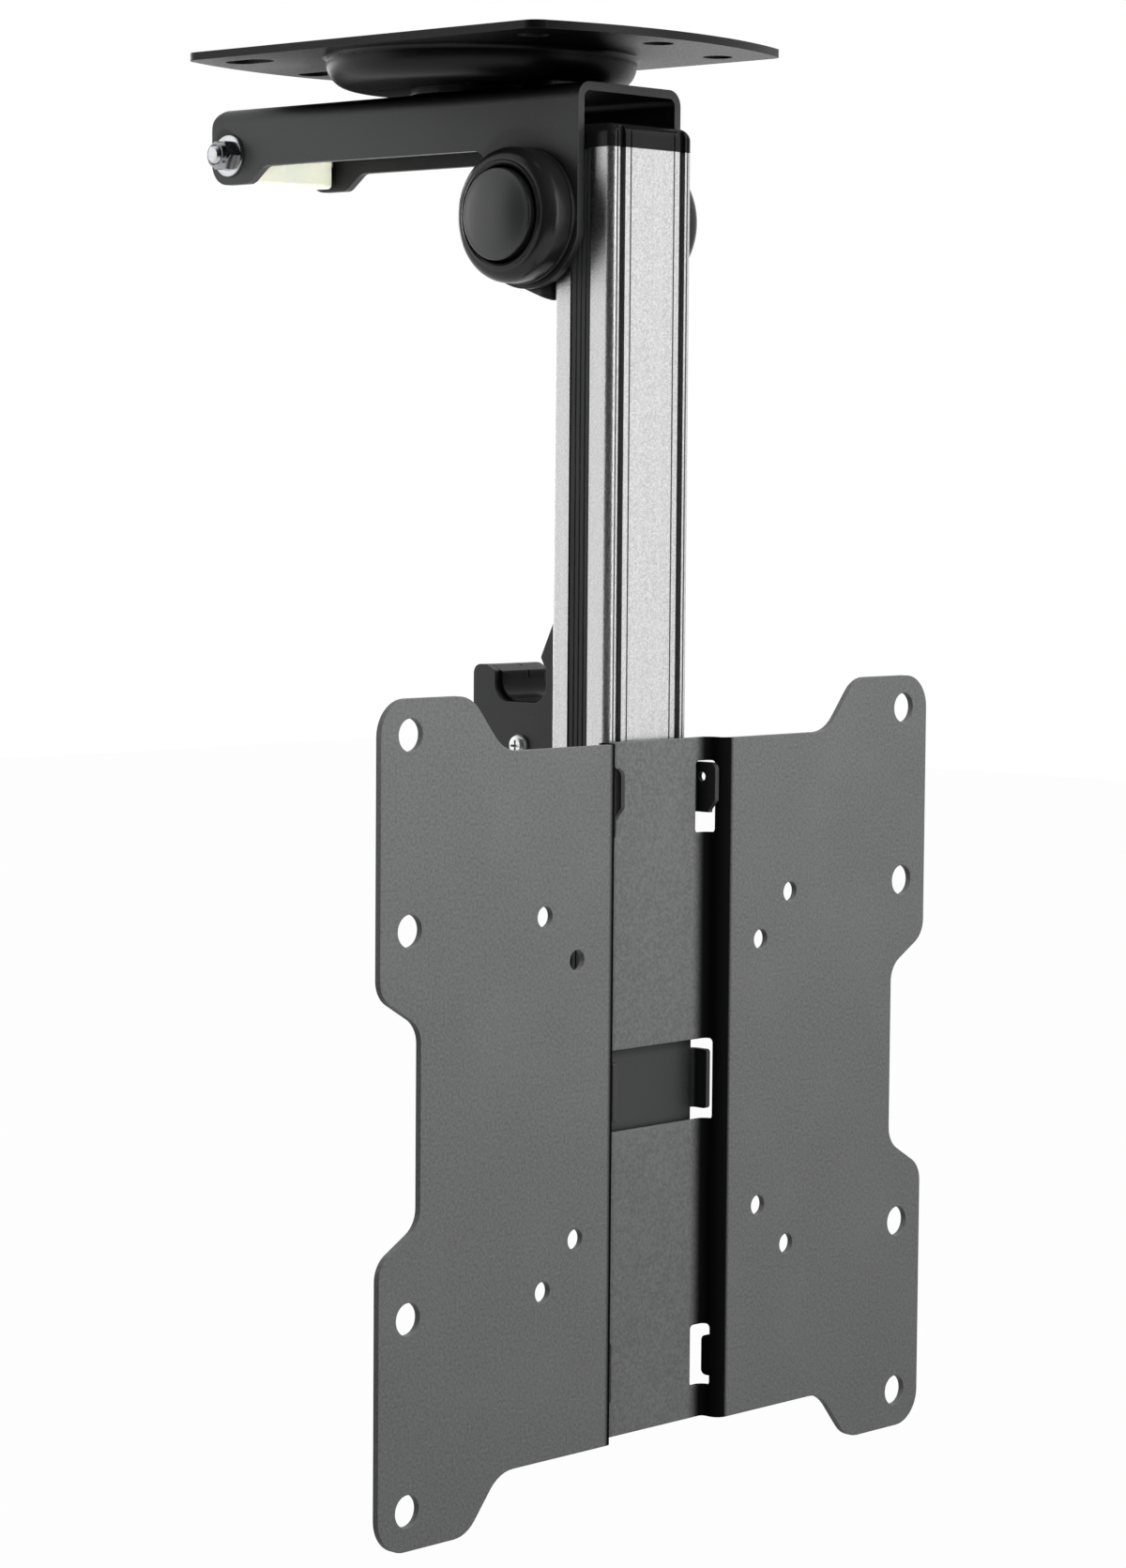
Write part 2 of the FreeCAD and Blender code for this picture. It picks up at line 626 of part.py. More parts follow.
# Every screw hole in the column: place on its front or rear face
def column_screws():
    base_low = hinge_z - bracket_below_hinge
    base_high = hinge_z + bracket_above_hinge
    bracket = [(x, column_rear, z) for x in (-screw_x, screw_x)
               for z in (base_low + bracket_screw_low, base_high - bracket_screw_high)]
    guides = [(0, column_rear, latch_bottom + rise) for rise in guide_screw_rise]
    seats = [(x, column_rear, seat_bottom + seat_screw_rise) for x in (-seat_screw_x, seat_screw_x)]
    carrier = [(x, column_front, plate_z + z) for x in (-screw_x, screw_x) for z in carrier_screw_z]
    return bracket, guides, seats, carrier


def column_section():
    half = column_width / 2
    front, rear = column_front, column_rear
    outside = [(-half, front), (half, front), (half, rear), (-half, rear)]
    body = outline([(x, y, column_corner) for x, y in outside], "XY")
    grooves = [(groove_from_side, groove_width / 2, groove_depth)]
    grooves += [(inset, fine_groove_width / 2, fine_groove_depth) for inset in fine_groove_from_side]
    cuts = []
    for inset, w, deep in grooves:
        for x in (inset - half, half - inset):
            cuts.append(outline([(x - w, front - 1), (x + w, front - 1),
                                 (x + w, front + deep), (x - w, front + deep)], "XY"))
    for side in (-1, 1):
        lip, inner = side * (half - slot_lip), side * (half - slot_depth)
        cuts.append(outline([(side * (half + 1), slot_y - slot_mouth / 2), (lip, slot_y - slot_mouth / 2),
                             (lip, slot_y + slot_mouth / 2), (side * (half + 1), slot_y + slot_mouth / 2)], "XY"))
        cuts.append(outline([(lip, slot_y - slot_inside / 2), (inner, slot_y - slot_inside / 2),
                             (inner, slot_y + slot_inside / 2), (lip, slot_y + slot_inside / 2)], "XY"))
    inside = cavity_width / 2
    cuts.append(outline([(x, y, cavity_corner) for x, y in
                         ((-inside, front + front_wall), (inside, front + front_wall),
                          (inside, rear - rear_wall), (-inside, rear - rear_wall))], "XY"))
    return body, cuts


def extruded(face, low, high):
    face = face.copy()
    face.translate(Vec(0, 0, low))
    return face.extrude(Vec(0, 0, high - low))


def column():
    body, cuts = column_section()
    profile = extruded(body, column_bottom, column_top)
    profile = profile.cut([extruded(cut, column_bottom - 1, column_top + 1) for cut in cuts])
    bracket, guides, seats, carrier = column_screws()
    holes = []
    for x, y, z in bracket + seats:
        holes.append(rod(pan_screw_d / 2, (x, y - rear_wall - 0.5, z), (x, y + 1, z)))
    for x, y, z in guides:
        holes.append(rod(guide_screw_d / 2 - 0.5, (x, y - rear_wall - 0.5, z), (x, y + 1, z)))
    for x, y, z in carrier:
        holes.append(rod(carrier_screw_d / 2, (x, y - 1, z), (x, y + front_wall + 0.5, z)))
    return profile.cut(holes)


def column_cap(face_z, up):
    body, cuts = column_section()
    low, high = sorted((face_z, face_z + up * cap_height))
    cap = extruded(body, low, high)
    outer_z = face_z + up * cap_height
    rim = [edge for edge in cap.Edges if abs(edge.BoundBox.ZMin - outer_z) < 1e-3 and edge.BoundBox.ZLength < 1e-3]
    cap = cap.makeFillet(cap_round, rim)
    grooves = [extruded(cut, low - 1, high + 1) for cut in cuts[:6]]
    inside = cavity_width / 2 - slide_gap
    y0, y1 = column_front + front_wall + slide_gap, column_rear - rear_wall - slide_gap
    plug = slab([(-inside, y0, cavity_corner), (inside, y0, cavity_corner), (inside, y1, cavity_corner),
                 (-inside, y1, cavity_corner)], "XY", *sorted((face_z + up, face_z - up * plug_length)))
    hollow = box(-inside + cap_wall, inside - cap_wall, y0 + cap_wall, y1 - cap_wall,
                 *sorted((face_z + up, face_z - up * (plug_length + 1))))
    return fuse_all([cap.cut(grooves), plug]).cut(hollow)


def slot_strip(side):
    half = column_width / 2
    face = half - strip_recess
    lip = half - slot_lip - slide_gap
    foot = lip - strip_foot
    mouth = slot_mouth / 2 - slide_gap
    wing = slot_inside / 2 - 3 * slide_gap
    corners = [(face, -mouth)]
    for line in (-1, 0, 1):
        middle = line * strip_line_pitch
        corners += [(face, middle - 0.25), (face - 0.3, middle - 0.25), (face - 0.3, middle + 0.25),
                    (face, middle + 0.25)]
    corners += [(face, mouth), (lip, mouth), (lip, wing), (foot, wing), (foot, -wing), (lip, -wing), (lip, -mouth)]
    return slab([(side * x, slot_y + y) for x, y in corners], "XY", column_bottom, column_top)


def hinge_bracket():
    half = bracket_half - bracket_sheet / 2
    base = column_rear + bracket_sheet / 2
    low, high = hinge_z - bracket_below_hinge, hinge_z + bracket_above_hinge
    reach = hinge_y + bracket_reach
    channel = bent_sheet([(-half, reach), (-half, base), (half, base), (half, reach)],
                         bracket_bend, bracket_sheet, "XY", low, high)
    side = slab([(column_rear - 1, high), (hinge_y + 5.5, high, 12.0), (reach, hinge_z + 5, 10.0),
                 (reach, hinge_z - 7, 9.0), (hinge_y + 6.6, low + 4.2, 5.0), (hinge_y - 5.0, low),
                 (column_rear - 1, low)], "YZ", -arm_width, arm_width)
    bracket = channel.common(side)
    tube_radius = hinge_tube_d / 2
    clear = tube_radius + 0.6
    cuts = [rod(tube_radius, (-arm_width, hinge_y, hinge_z), (arm_width, hinge_y, hinge_z)),
            box(-half + bracket_sheet, half - bracket_sheet, column_rear - 1, hinge_y,
                hinge_z - clear, hinge_z + clear)]
    bracket_holes, guides, seats, carrier = column_screws()
    cuts += [rod(pan_screw_d / 2 + slide_gap, (x, y - 1, z), (x, y + 5, z)) for x, y, z in bracket_holes]
    return bracket.cut(cuts)


def bracket_screws():
    places = column_screws()[0]
    return [pan_screw((x, y + bracket_sheet, z), (0, -1, 0), pan_screw_d / 2, pan_head_d / 2,
                      pan_head_height, pan_screw_length) for x, y, z in places]


# The outline of the screen plate: one quarter's corners, mirrored
def plate_outline():
    neck_z = plate_half_height - plate_neck_depth
    waist_x = plate_half_width - plate_waist_depth
    quarter = [(plate_neck[0], neck_z, 11.0), (plate_neck[1], plate_half_height, 10.0),
               (plate_half_width, plate_half_height, plate_corner),
               (plate_half_width, plate_waist_rise[1], 7.5), (waist_x, plate_waist_rise[0], 7.5)]
    right = quarter + [(x, -z, r) for x, z, r in reversed(quarter)]
    left = [(-x, z, r) for x, z, r in reversed(right)]
    return [(x, plate_z + plate_shift + z, r) for x, z, r in right + left]


def tv_plate():
    flange_middle = flange_front + plate_sheet / 2
    web_middle = web_front + plate_sheet / 2
    wall = recess_half_width + plate_sheet / 2
    edge = plate_half_width + 1
    top = plate_z + plate_half_height
    bottom = plate_z + plate_shift - plate_half_height
    sheet = bent_sheet([(-edge, flange_middle), (-wall, flange_middle), (-wall, web_middle),
                        (wall, web_middle), (wall, flange_middle), (edge, flange_middle)],
                       plate_bend, plate_sheet, "XY", bottom, top)
    y0, y1 = flange_front - 2, web_back + 2
    sheet = sheet.common(slab(plate_outline(), "XZ", y0, y1))
    cuts = []
    for x in (-vesa_wide, vesa_wide):
        for z in (-vesa_wide, -vesa_low, vesa_low, vesa_wide):
            cuts.append(rod(vesa_hole / 2, (x, y0, plate_z + z), (x, y1, plate_z + z)))
    for inner in (vesa_low, vesa_inner):
        for x in (-inner, inner):
            for z in (-inner, inner):
                cuts.append(rod(vesa_small_hole / 2, (x, y0, plate_z + z), (x, y1, plate_z + z)))

    # Window across the web and slots at the bends, punched before folding
    beyond = wall + plate_sheet
    cut_y = flange_front + wall_cut_back

    def punched(x0, x1, z0, z1):
        across = slab([(x0, plate_z + z0, punch_round), (x1, plate_z + z0, punch_round),
                       (x1, plate_z + z1, punch_round), (x0, plate_z + z1, punch_round)], "XZ", y0, y1)
        along = slab([(cut_y, plate_z + z0, punch_round), (y1, plate_z + z0), (y1, plate_z + z1),
                      (cut_y, plate_z + z1, punch_round)], "YZ", x0, x1)
        return across.common(along)

    cuts.append(punched(-beyond - 1, beyond + 1, window_bottom, window_top))
    for low, high in (upper_slot, lower_slot):
        slot = punched(slot_from_centre, beyond + 2, low, high)
        if low == lower_slot[0]:
            tongue_end = cut_y + tongue_reach
            slot = slot.cut(slab([(cut_y - 1, plate_z + tongue[0]), (tongue_end, plate_z + tongue[0], 1.6),
                                  (tongue_end, plate_z + tongue[1], 1.6), (cut_y - 1, plate_z + tongue[1])],
                                 "YZ", recess_half_width, beyond + 3))
        cuts += both_sides(slot)
    return sheet.cut(cuts)


def plate_carrier():
    half = carrier_half_width - carrier_sheet / 2
    middle = carrier_back - carrier_sheet / 2
    front = carrier_front - hook_forward
    top, bottom = plate_z + carrier_top, plate_z + carrier_bottom
    channel = bent_sheet([(-half, front), (-half, middle), (half, middle), (half, front)],
                         carrier_bend, carrier_sheet, "XY", bottom, top)

    # Side view: flat base, one hook above and one tab at the window on each side
    base = carrier_front - 0.01
    hook_z, root_z, tip_z = plate_z + hook_top, plate_z + hook_top - hook_depth, plate_z + hook_tip
    finger, finger_end = front + hook_finger, front + 2 * hook_finger
    tab_low, tab_high = plate_z + mid_tab[0], plate_z + mid_tab[1]
    tab_front = carrier_front - mid_tab_forward
    side = slab([(carrier_back + 1, top), (base, top), (base, hook_z), (front, hook_z, 2.0),
                 (front, hook_z - hook_chin[0], 1.0), (finger, hook_z - hook_chin[1], 1.0), (finger, tip_z, 0.9),
                 (finger_end, tip_z, 0.9), (finger_end, root_z, 1.5), (base, root_z), (base, tab_high),
                 (tab_front, tab_high, 1.0), (tab_front, tab_low, 1.0), (base, tab_low), (base, bottom),
                 (carrier_back + 1, bottom)], "YZ", -carrier_half_width - 1, carrier_half_width + 1)
    carrier = channel.common(side)
    root = carrier_half_width - carrier_sheet - carrier_bend
    reliefs = []
    for z0, z1 in ((carrier_bottom - 1, mid_tab[0]), (mid_tab[1], hook_top - hook_depth),
                   (hook_top, carrier_top + 1)):
        reliefs += both_sides(box(root, carrier_half_width + 1, front - 1, carrier_back + 1,
                                  plate_z + z0, plate_z + z1))
    holes = [cone(carrier_screw_d / 2, carrier_screw_d / 2 + carrier_sheet, (x, y, z), (x, y - carrier_sheet, z))
             for x, y, z in column_screws()[3]]
    bore_z = hook_z - 4.0
    bore_y = carrier_front - hook_finger
    bores = [rod(hook_bore / 2, (-carrier_half_width - 1, bore_y, bore_z), (carrier_half_width + 1, bore_y, bore_z))]
    return carrier.cut(reliefs + holes + bores)


def carrier_screws():
    screws = []
    for x, y, z in column_screws()[3]:
        head = cone(carrier_screw_d / 2, carrier_screw_d / 2 + carrier_sheet, (x, y, z), (x, y - carrier_sheet, z))
        shank = rod(carrier_screw_d / 2, (x, y - 0.5, z), (x, y + carrier_screw_length, z))
        socket = hexagon(2.5, (x, y - carrier_sheet - 0.1, z), (x, y - 0.4, z), False, False)
        screws.append(fuse_all([head, shank]).cut(socket))
    return screws


# Side view of the latch: base strip on the column, prong, notch for the block, and slanted nose
def latch_side():
    floor = notch_floor
    wall0, wall1 = notch_y - notch_half, notch_y + notch_half
    prong = column_rear + prong_reach
    strip = latch_back + latch_sheet
    tip = wall0 + nose_hook
    tip_z = floor + nose_tip_height
    return [(column_rear - 1, nose_top), (strip, nose_top, 1.5), (tip, tip_z, 0.9), (tip - 1.2, tip_z - 2.2, 0.8),
            (wall0, tip_z - 2.6, 0.8), (wall0, floor, notch_round), (wall1, floor, notch_round),
            (wall1, prong_top - prong_bevel[1], 0.8), (wall1 + prong_bevel[0] - 2.0, prong_top, 1.5),
            (prong, prong_top, 2.6), (prong, floor - prong_straight, 5.0), (strip + 3.0, floor - latch_waist, 3.0),
            (strip, floor - latch_waist), (strip, latch_bottom), (column_rear - 1, latch_bottom)]


def latch_bracket():
    half = latch_width / 2
    side_middle = half - latch_sheet / 2
    base = latch_back + latch_sheet / 2
    far = column_rear + prong_reach + 1
    channel = bent_sheet([(-side_middle, far), (-side_middle, base), (side_middle, base), (side_middle, far)],
                         latch_bend, latch_sheet, "XY", latch_bottom, nose_top)
    cheeks = channel.common(slab(latch_side(), "YZ", -half - 1, half + 1))
    pull = bent_sheet([(base, latch_bottom + pull_overlap), (base, latch_bottom + latch_sheet / 2),
                       (base + pull_tab_length, latch_bottom + latch_sheet / 2)],
                      latch_bend, latch_sheet, "YZ", -half, half)
    tab_end = base + pull_tab_length
    pull = pull.common(slab([(-half, latch_back - 1), (-half, tab_end, 5.0), (half, tab_end, 5.0),
                             (half, latch_back - 1)], "XY", latch_bottom, latch_bottom + pull_overlap))
    cheeks = cheeks.cut(box(-half - 1, half + 1, latch_back - 1, far, latch_bottom - 1, latch_bottom + pull_overlap - 2))
    bracket = fuse_all([cheeks, pull])
    cuts = []
    screw = guide_screw_d / 2 + slide_gap
    for x, y, z in column_screws()[1]:
        low, high = z, z + latch_travel
        cuts += [rod(screw, (x, y - 1, low), (x, y + 5, low)), rod(screw, (x, y - 1, high), (x, y + 5, high)),
                 box(x - screw, x + screw, y - 1, y + 5, low, high)]
    cuts.append(rod(spring_pin_d / 2 + 3 * slide_gap, (0, spring_y, latch_bottom - 1), (0, spring_y, latch_bottom + 5)))
    cuts.append(rod(liner_screw_d / 2 + slide_gap, (-half - 1, notch_y, liner_screw_z),
                    (half + 1, notch_y, liner_screw_z)))
    return bracket.cut(cuts)


# Plastic filling between the cheeks: it stands a little proud in the notch and ends flush at the prong's top
def latch_liner():
    inner = latch_width / 2 - latch_sheet - slide_gap
    wall0, wall1 = notch_y - notch_half, notch_y + notch_half
    seat0, seat1 = wall0 + liner_wall, wall1 - liner_wall
    seat_floor = notch_floor + liner_floor
    back = wall0 - liner_back
    prong = column_rear + prong_reach - liner_edge
    low = notch_floor - liner_depth
    high = notch_floor + nose_tip_height - 3.4
    block = slab([(back, low, 2.0), (prong, low, 2.0), (prong, prong_top, 2.0),
                  (wall1 + prong_bevel[0] - 2.0, prong_top, 1.5), (seat1, prong_top - prong_bevel[1] - 0.3, 0.8),
                  (seat1, seat_floor, notch_round), (seat0, seat_floor, notch_round), (seat0, high, 0.6),
                  (back, high, 0.6)], "YZ", -inner, inner)
    seam0, seam1 = liner_seam_x - liner_seam / 2, liner_seam_x + liner_seam / 2
    cuts = [box(seam0, seam1, seat1 - 1, prong + 1, prong_top - 2 * liner_seam, prong_top + 1),
            box(seam0, seam1, seat1 - 1, seat1 + liner_seam, seat_floor + notch_round, prong_top + 1),
            rod(liner_screw_d / 2, (-inner - 1, notch_y, liner_screw_z), (inner + 1, notch_y, liner_screw_z))]
    return block.cut(cuts)


def liner_screws():
    half = latch_width / 2
    screw = pan_screw((half, notch_y, liner_screw_z), (-1, 0, 0), liner_screw_d / 2,
                      liner_screw_head_d / 2, 2.0, 7.5)
    return both_sides(screw)


def guide_screws():
    seat = latch_back + latch_sheet + slide_gap
    screws = []
    for x, y, z in column_screws()[1]:
        head = tube(guide_head_d / 2, 1.6, (x, seat + 0.9, z), (x, seat + guide_head_height, z))
        head = fuse_all([head, rod(guide_head_d / 2, (x, seat, z), (x, seat + 1.0, z))])
        shoulder = rod(guide_screw_d / 2, (x, column_rear, z), (x, seat + 0.5, z))
        shank = rod(guide_screw_d / 2 - 0.5, (x, column_rear - 8.0, z), (x, column_rear + 0.5, z))
        screws.append(fuse_all([head, shoulder, shank]))
    return screws


def spring_seat():
    middle = column_rear + seat_sheet / 2
    half = seat_screw_x + seat_margin
    seat = bent_sheet([(middle, seat_bottom), (middle, shelf_top - seat_sheet / 2),
                       (column_rear + seat_shelf, shelf_top - seat_sheet / 2)],
                      1.0, seat_sheet, "YZ", -half, half)
    seat = seat.common(slab([(-half, column_rear - 1), (-half, column_rear + seat_shelf, 4.0),
                             (half, column_rear + seat_shelf, 4.0), (half, column_rear - 1)],
                            "XY", seat_bottom, shelf_top))
    cuts = [rod(pan_screw_d / 2 + slide_gap, (x, y - 1, z), (x, y + 5, z)) for x, y, z in column_screws()[2]]
    cuts.append(rod(spring_pin_d / 2 - 0.6, (0, spring_y, shelf_top - 5), (0, spring_y, shelf_top + 1)))
    return seat.cut(cuts)


def seat_screws():
    return [pan_screw((x, y + seat_sheet, z), (0, -1, 0), pan_screw_d / 2, pan_head_d / 2,
                      pan_head_height, pan_screw_length) for x, y, z in column_screws()[2]]


def spring_pin():
    radius = spring_pin_d / 2
    under = shelf_top - seat_sheet
    top = latch_bottom + latch_sheet + latch_travel
    return fuse_all([rod(radius, (0, spring_y, shelf_top), (0, spring_y, top)),
                     rod(radius - 0.6, (0, spring_y, under - 0.5), (0, spring_y, shelf_top + 0.5)),
                     rod(radius + 0.8, (0, spring_y, under - 1.2), (0, spring_y, under))])


def latch_spring():
    gap = spring_wire / 2 + slide_gap
    height = spring_length - 2 * gap
    pitch = height / spring_turns
    helix = Part.makeHelix(pitch, height, spring_radius - spring_wire / 2)
    start = Vec(spring_radius - spring_wire / 2, 0, 0)
    circle = Part.Wire(Part.makeCircle(spring_wire / 2, start, Vec(0, 1, 0)))
    coil = Part.Wire(helix).makePipeShell([circle], True, True)
    coil.translate(Vec(0, spring_y, shelf_top + gap))
    return coil


def build():
    save("ceiling_plate", ceiling_plate())
    swivel_stack()
    save("arm_channel", arm_channel())
    hinge_hardware()
    catch_hardware()
    save("hinge_bracket", hinge_bracket())
    save("hinge_bracket_screws", Part.makeCompound(bracket_screws()))
    save("column", column())
    save("column_top_cap", column_cap(column_top, 1))
    save("column_bottom_cap", column_cap(column_bottom, -1))
    save("slot_strip_left", slot_strip(-1))
    save("slot_strip_right", slot_strip(1))
    save("plate_carrier", plate_carrier())
    save("carrier_screws", Part.makeCompound(carrier_screws()))
    save("tv_plate", tv_plate())
    save("latch_bracket", latch_bracket())
    save("latch_liner", latch_liner())
    save("latch_liner_screws", Part.makeCompound(liner_screws()))
    save("latch_guide_screws", Part.makeCompound(guide_screws()))
    save("latch_spring", latch_spring())
    save("spring_seat", spring_seat())
    save("spring_seat_screws", Part.makeCompound(seat_screws()))
    save("spring_pin", spring_pin())


build()
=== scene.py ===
import bpy
import math
from mathutils import Matrix, Vector


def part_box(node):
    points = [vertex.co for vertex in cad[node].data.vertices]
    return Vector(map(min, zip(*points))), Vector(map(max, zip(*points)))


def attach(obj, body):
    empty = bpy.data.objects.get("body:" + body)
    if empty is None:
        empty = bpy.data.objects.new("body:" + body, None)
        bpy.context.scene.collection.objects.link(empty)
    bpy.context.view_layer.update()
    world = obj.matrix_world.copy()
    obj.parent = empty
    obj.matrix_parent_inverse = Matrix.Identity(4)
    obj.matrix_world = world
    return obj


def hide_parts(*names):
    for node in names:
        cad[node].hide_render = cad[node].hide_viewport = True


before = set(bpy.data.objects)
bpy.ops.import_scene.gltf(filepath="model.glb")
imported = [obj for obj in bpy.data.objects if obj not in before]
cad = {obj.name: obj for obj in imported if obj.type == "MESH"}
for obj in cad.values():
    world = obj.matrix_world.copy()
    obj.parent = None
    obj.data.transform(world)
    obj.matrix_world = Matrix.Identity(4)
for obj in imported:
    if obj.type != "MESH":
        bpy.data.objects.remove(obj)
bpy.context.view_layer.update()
mm = 0.001

# Camera fitted to the screen plate's holes
camera = {
    "place": (-825.7, -809.2, -119.7),      # mm
    "right": (0.6851, -0.7284, 0.0078),
    "up": (0.0488, 0.0565, 0.9972),
    "ahead": (0.7268, 0.6828, -0.0742),
    "lens": 93.67,
}


def addCamera():
    data = bpy.data.cameras.new("photoCamera")
    data.sensor_width = 36
    data.lens = camera["lens"]
    data.clip_start = 0.05
    data.clip_end = 50
    eye = bpy.data.objects.new("photoCamera", data)
    bpy.context.scene.collection.objects.link(eye)
    right = Vector(camera["right"]).normalized()
    back = -Vector(camera["ahead"]).normalized()
    up = back.cross(right).normalized()
    turn = Matrix((right, up, back)).transposed().to_4x4()
    eye.matrix_world = Matrix.Translation(Vector(camera["place"]) * mm) @ turn
    bpy.context.scene.camera = eye


addCamera()
print("camera placed")


def nothingSelected():
    for thing in bpy.context.selected_objects:
        thing.select_set(False)


def makeActive(piece):
    nothingSelected()
    piece.select_set(True)
    bpy.context.view_layer.objects.active = piece


def editOn(piece):
    makeActive(piece)
    bpy.ops.object.mode_set(mode="EDIT")


def editOff():
    bpy.ops.object.mode_set(mode="OBJECT")


def useModifiers(piece):
    makeActive(piece)
    for modifier in list(piece.modifiers):
        bpy.ops.object.modifier_apply(modifier=modifier.name)


# Place goes into the mesh, curved faces are shaded smooth, and the piece rides on its body
def finishPiece(piece, name, body, material, stands, angle):
    makeActive(piece)
    bpy.ops.object.transform_apply(location=True, rotation=True, scale=True)
    bpy.ops.object.shade_smooth_by_angle(angle=math.radians(angle))
    piece.name = name
    piece.data.name = name
    piece.data.materials.clear()
    piece.data.materials.append(material)
    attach(piece, body)
    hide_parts(stands)
    nothingSelected()


def newMaterial(name, metallic, specular=0.5):
    material = bpy.data.materials.new(name)
    material.use_nodes = True
    tree = material.node_tree
    shader = tree.nodes["Principled BSDF"]
    shader.inputs["Metallic"].default_value = metallic
    shader.inputs["Specular IOR Level"].default_value = specular
    where = tree.nodes.new("ShaderNodeTexCoord")
    return material, tree, shader, where.outputs["Object"]


def addNoise(tree, where, scale, detail, rough, stretch=None):
    noise = tree.nodes.new("ShaderNodeTexNoise")
    noise.inputs["Scale"].default_value = scale
    noise.inputs["Detail"].default_value = detail
    noise.inputs["Roughness"].default_value = rough
    if stretch:
        mapping = tree.nodes.new("ShaderNodeMapping")
        mapping.inputs["Scale"].default_value = stretch
        tree.links.new(where, mapping.inputs["Vector"])
        where = mapping.outputs["Vector"]
    tree.links.new(where, noise.inputs["Vector"])
    return noise.outputs["Fac"]


def addRange(tree, source, low, high, fromLow=0.3, fromHigh=0.7):
    node = tree.nodes.new("ShaderNodeMapRange")
    node.inputs["From Min"].default_value = fromLow
    node.inputs["From Max"].default_value = fromHigh
    node.inputs["To Min"].default_value = low
    node.inputs["To Max"].default_value = high
    tree.links.new(source, node.inputs["Value"])
    return node.outputs["Result"]


def addColours(tree, source, stops):
    ramp = tree.nodes.new("ShaderNodeValToRGB")
    band = ramp.color_ramp
    while len(band.elements) < len(stops):
        band.elements.new(0.5)
    for element, (spot, colour) in zip(band.elements, stops):
        element.position = spot
        element.color = (*colour, 1)
    tree.links.new(source, ramp.inputs["Fac"])
    return ramp.outputs["Color"]


def addMix(tree, share, first, second):
    mix = tree.nodes.new("ShaderNodeMix")
    mix.data_type = "RGBA"
    for socket, value in ((mix.inputs["A"], first), (mix.inputs["B"], second)):
        if isinstance(value, tuple):
            socket.default_value = (*value, 1)
        else:
            tree.links.new(value, socket)
    tree.links.new(share, mix.inputs["Factor"])
    return mix.outputs["Result"]


# Either input is a socket or a plain value
def addMath(tree, operation, first, second=None):
    node = tree.nodes.new("ShaderNodeMath")
    node.operation = operation
    for socket, value in zip(node.inputs, (first, second)):
        if isinstance(value, bpy.types.NodeSocket):
            tree.links.new(value, socket)
        elif value is not None:
            socket.default_value = value
    return node.outputs[0]


def splitAxes(tree, vector):
    node = tree.nodes.new("ShaderNodeSeparateXYZ")
    tree.links.new(vector, node.inputs["Vector"])
    return node.outputs


def addBump(tree, height, distance, strength, normal=None):
    bump = tree.nodes.new("ShaderNodeBump")
    bump.inputs["Distance"].default_value = distance
    bump.inputs["Strength"].default_value = strength
    tree.links.new(height, bump.inputs["Height"])
    if normal:
        tree.links.new(normal, bump.inputs["Normal"])
    return bump.outputs["Normal"]


def softEdges(tree, radius):
    bevel = tree.nodes.new("ShaderNodeBevel")
    bevel.samples = 6
    bevel.inputs["Radius"].default_value = radius
    return bevel.outputs["Normal"]


# A mask that is 1 on the softened edges
def edgeMask(tree, edges):
    flat = tree.nodes.new("ShaderNodeNewGeometry")
    dot = tree.nodes.new("ShaderNodeVectorMath")
    dot.operation = "DOT_PRODUCT"
    tree.links.new(edges, dot.inputs[0])
    tree.links.new(flat.outputs["Normal"], dot.inputs[1])
    return addRange(tree, dot.outputs["Value"], 1.0, 0.0, 0.80, 0.985)


# "grain" is the grain's scale, "depth" (m) and "strength" are its relief.
# "hollow" (m) is how near other walls have to be for the painted shade of hollows to darken the coat
coats = {
    "arm": {"colour": (0.016, 0.017, 0.0165), "worn": (0.09, 0.09, 0.09), "rough": 0.40, "specular": 0.42,
            "grain": 1500, "depth": 0.00006, "strength": 0.22, "hollow": 0.045},
    "plate": {"colour": (0.112, 0.1145, 0.1132), "worn": (0.19, 0.19, 0.19), "rough": 0.52, "specular": 0.12,
              "grain": 1250, "depth": 0.00011, "strength": 0.42, "hollow": 0.0},
    "ceiling": {"colour": (0.003, 0.003, 0.003), "worn": (0.04, 0.04, 0.04), "rough": 0.36,
                "specular": 0.22, "grain": 1700, "depth": 0.00005, "strength": 0.18, "hollow": 0.040},
}

# What the three coats share: edge radius (m), scales of patches, rubs and waves, and how the colour swings
coatPattern = {"edge": 0.00035, "patches": 38.0, "patchShare": 0.35, "rubs": 160.0, "waves": 420.0,
               "lighter": 1.22, "darker": 0.80}

# Painted shade in hollows: the coat is painted darkest below the first share of open room, and as written
# above the second
hollowShade = {"closed": 0.30, "open": 0.72, "colour": (0.002, 0.002, 0.002), "shineLeft": 0.12}


# Painted shade: colour and shine fade deep inside a piece, where little of the room is open
def addHollowShade(tree, shader, coloured, coat):
    around = tree.nodes.new("ShaderNodeAmbientOcclusion")
    around.samples = 8
    around.inputs["Distance"].default_value = coat["hollow"]
    opened = addRange(tree, around.outputs["AO"], 0.0, 1.0, hollowShade["closed"], hollowShade["open"])
    shine = addRange(tree, opened, coat["specular"] * hollowShade["shineLeft"], coat["specular"], 0.0, 1.0)
    tree.links.new(shine, shader.inputs["Specular IOR Level"])
    return addMix(tree, opened, hollowShade["colour"], coloured)


# Painted shade: the front of the screen plate's two folds is painted nearly black, with a soft painted shadow
# on the web beside them (metres from the middle)
plateFoldShade = {"from": 0.0150, "full": 0.0202, "until": 0.0240, "gone": 0.0253,
              "colour": (0.004, 0.004, 0.004)}
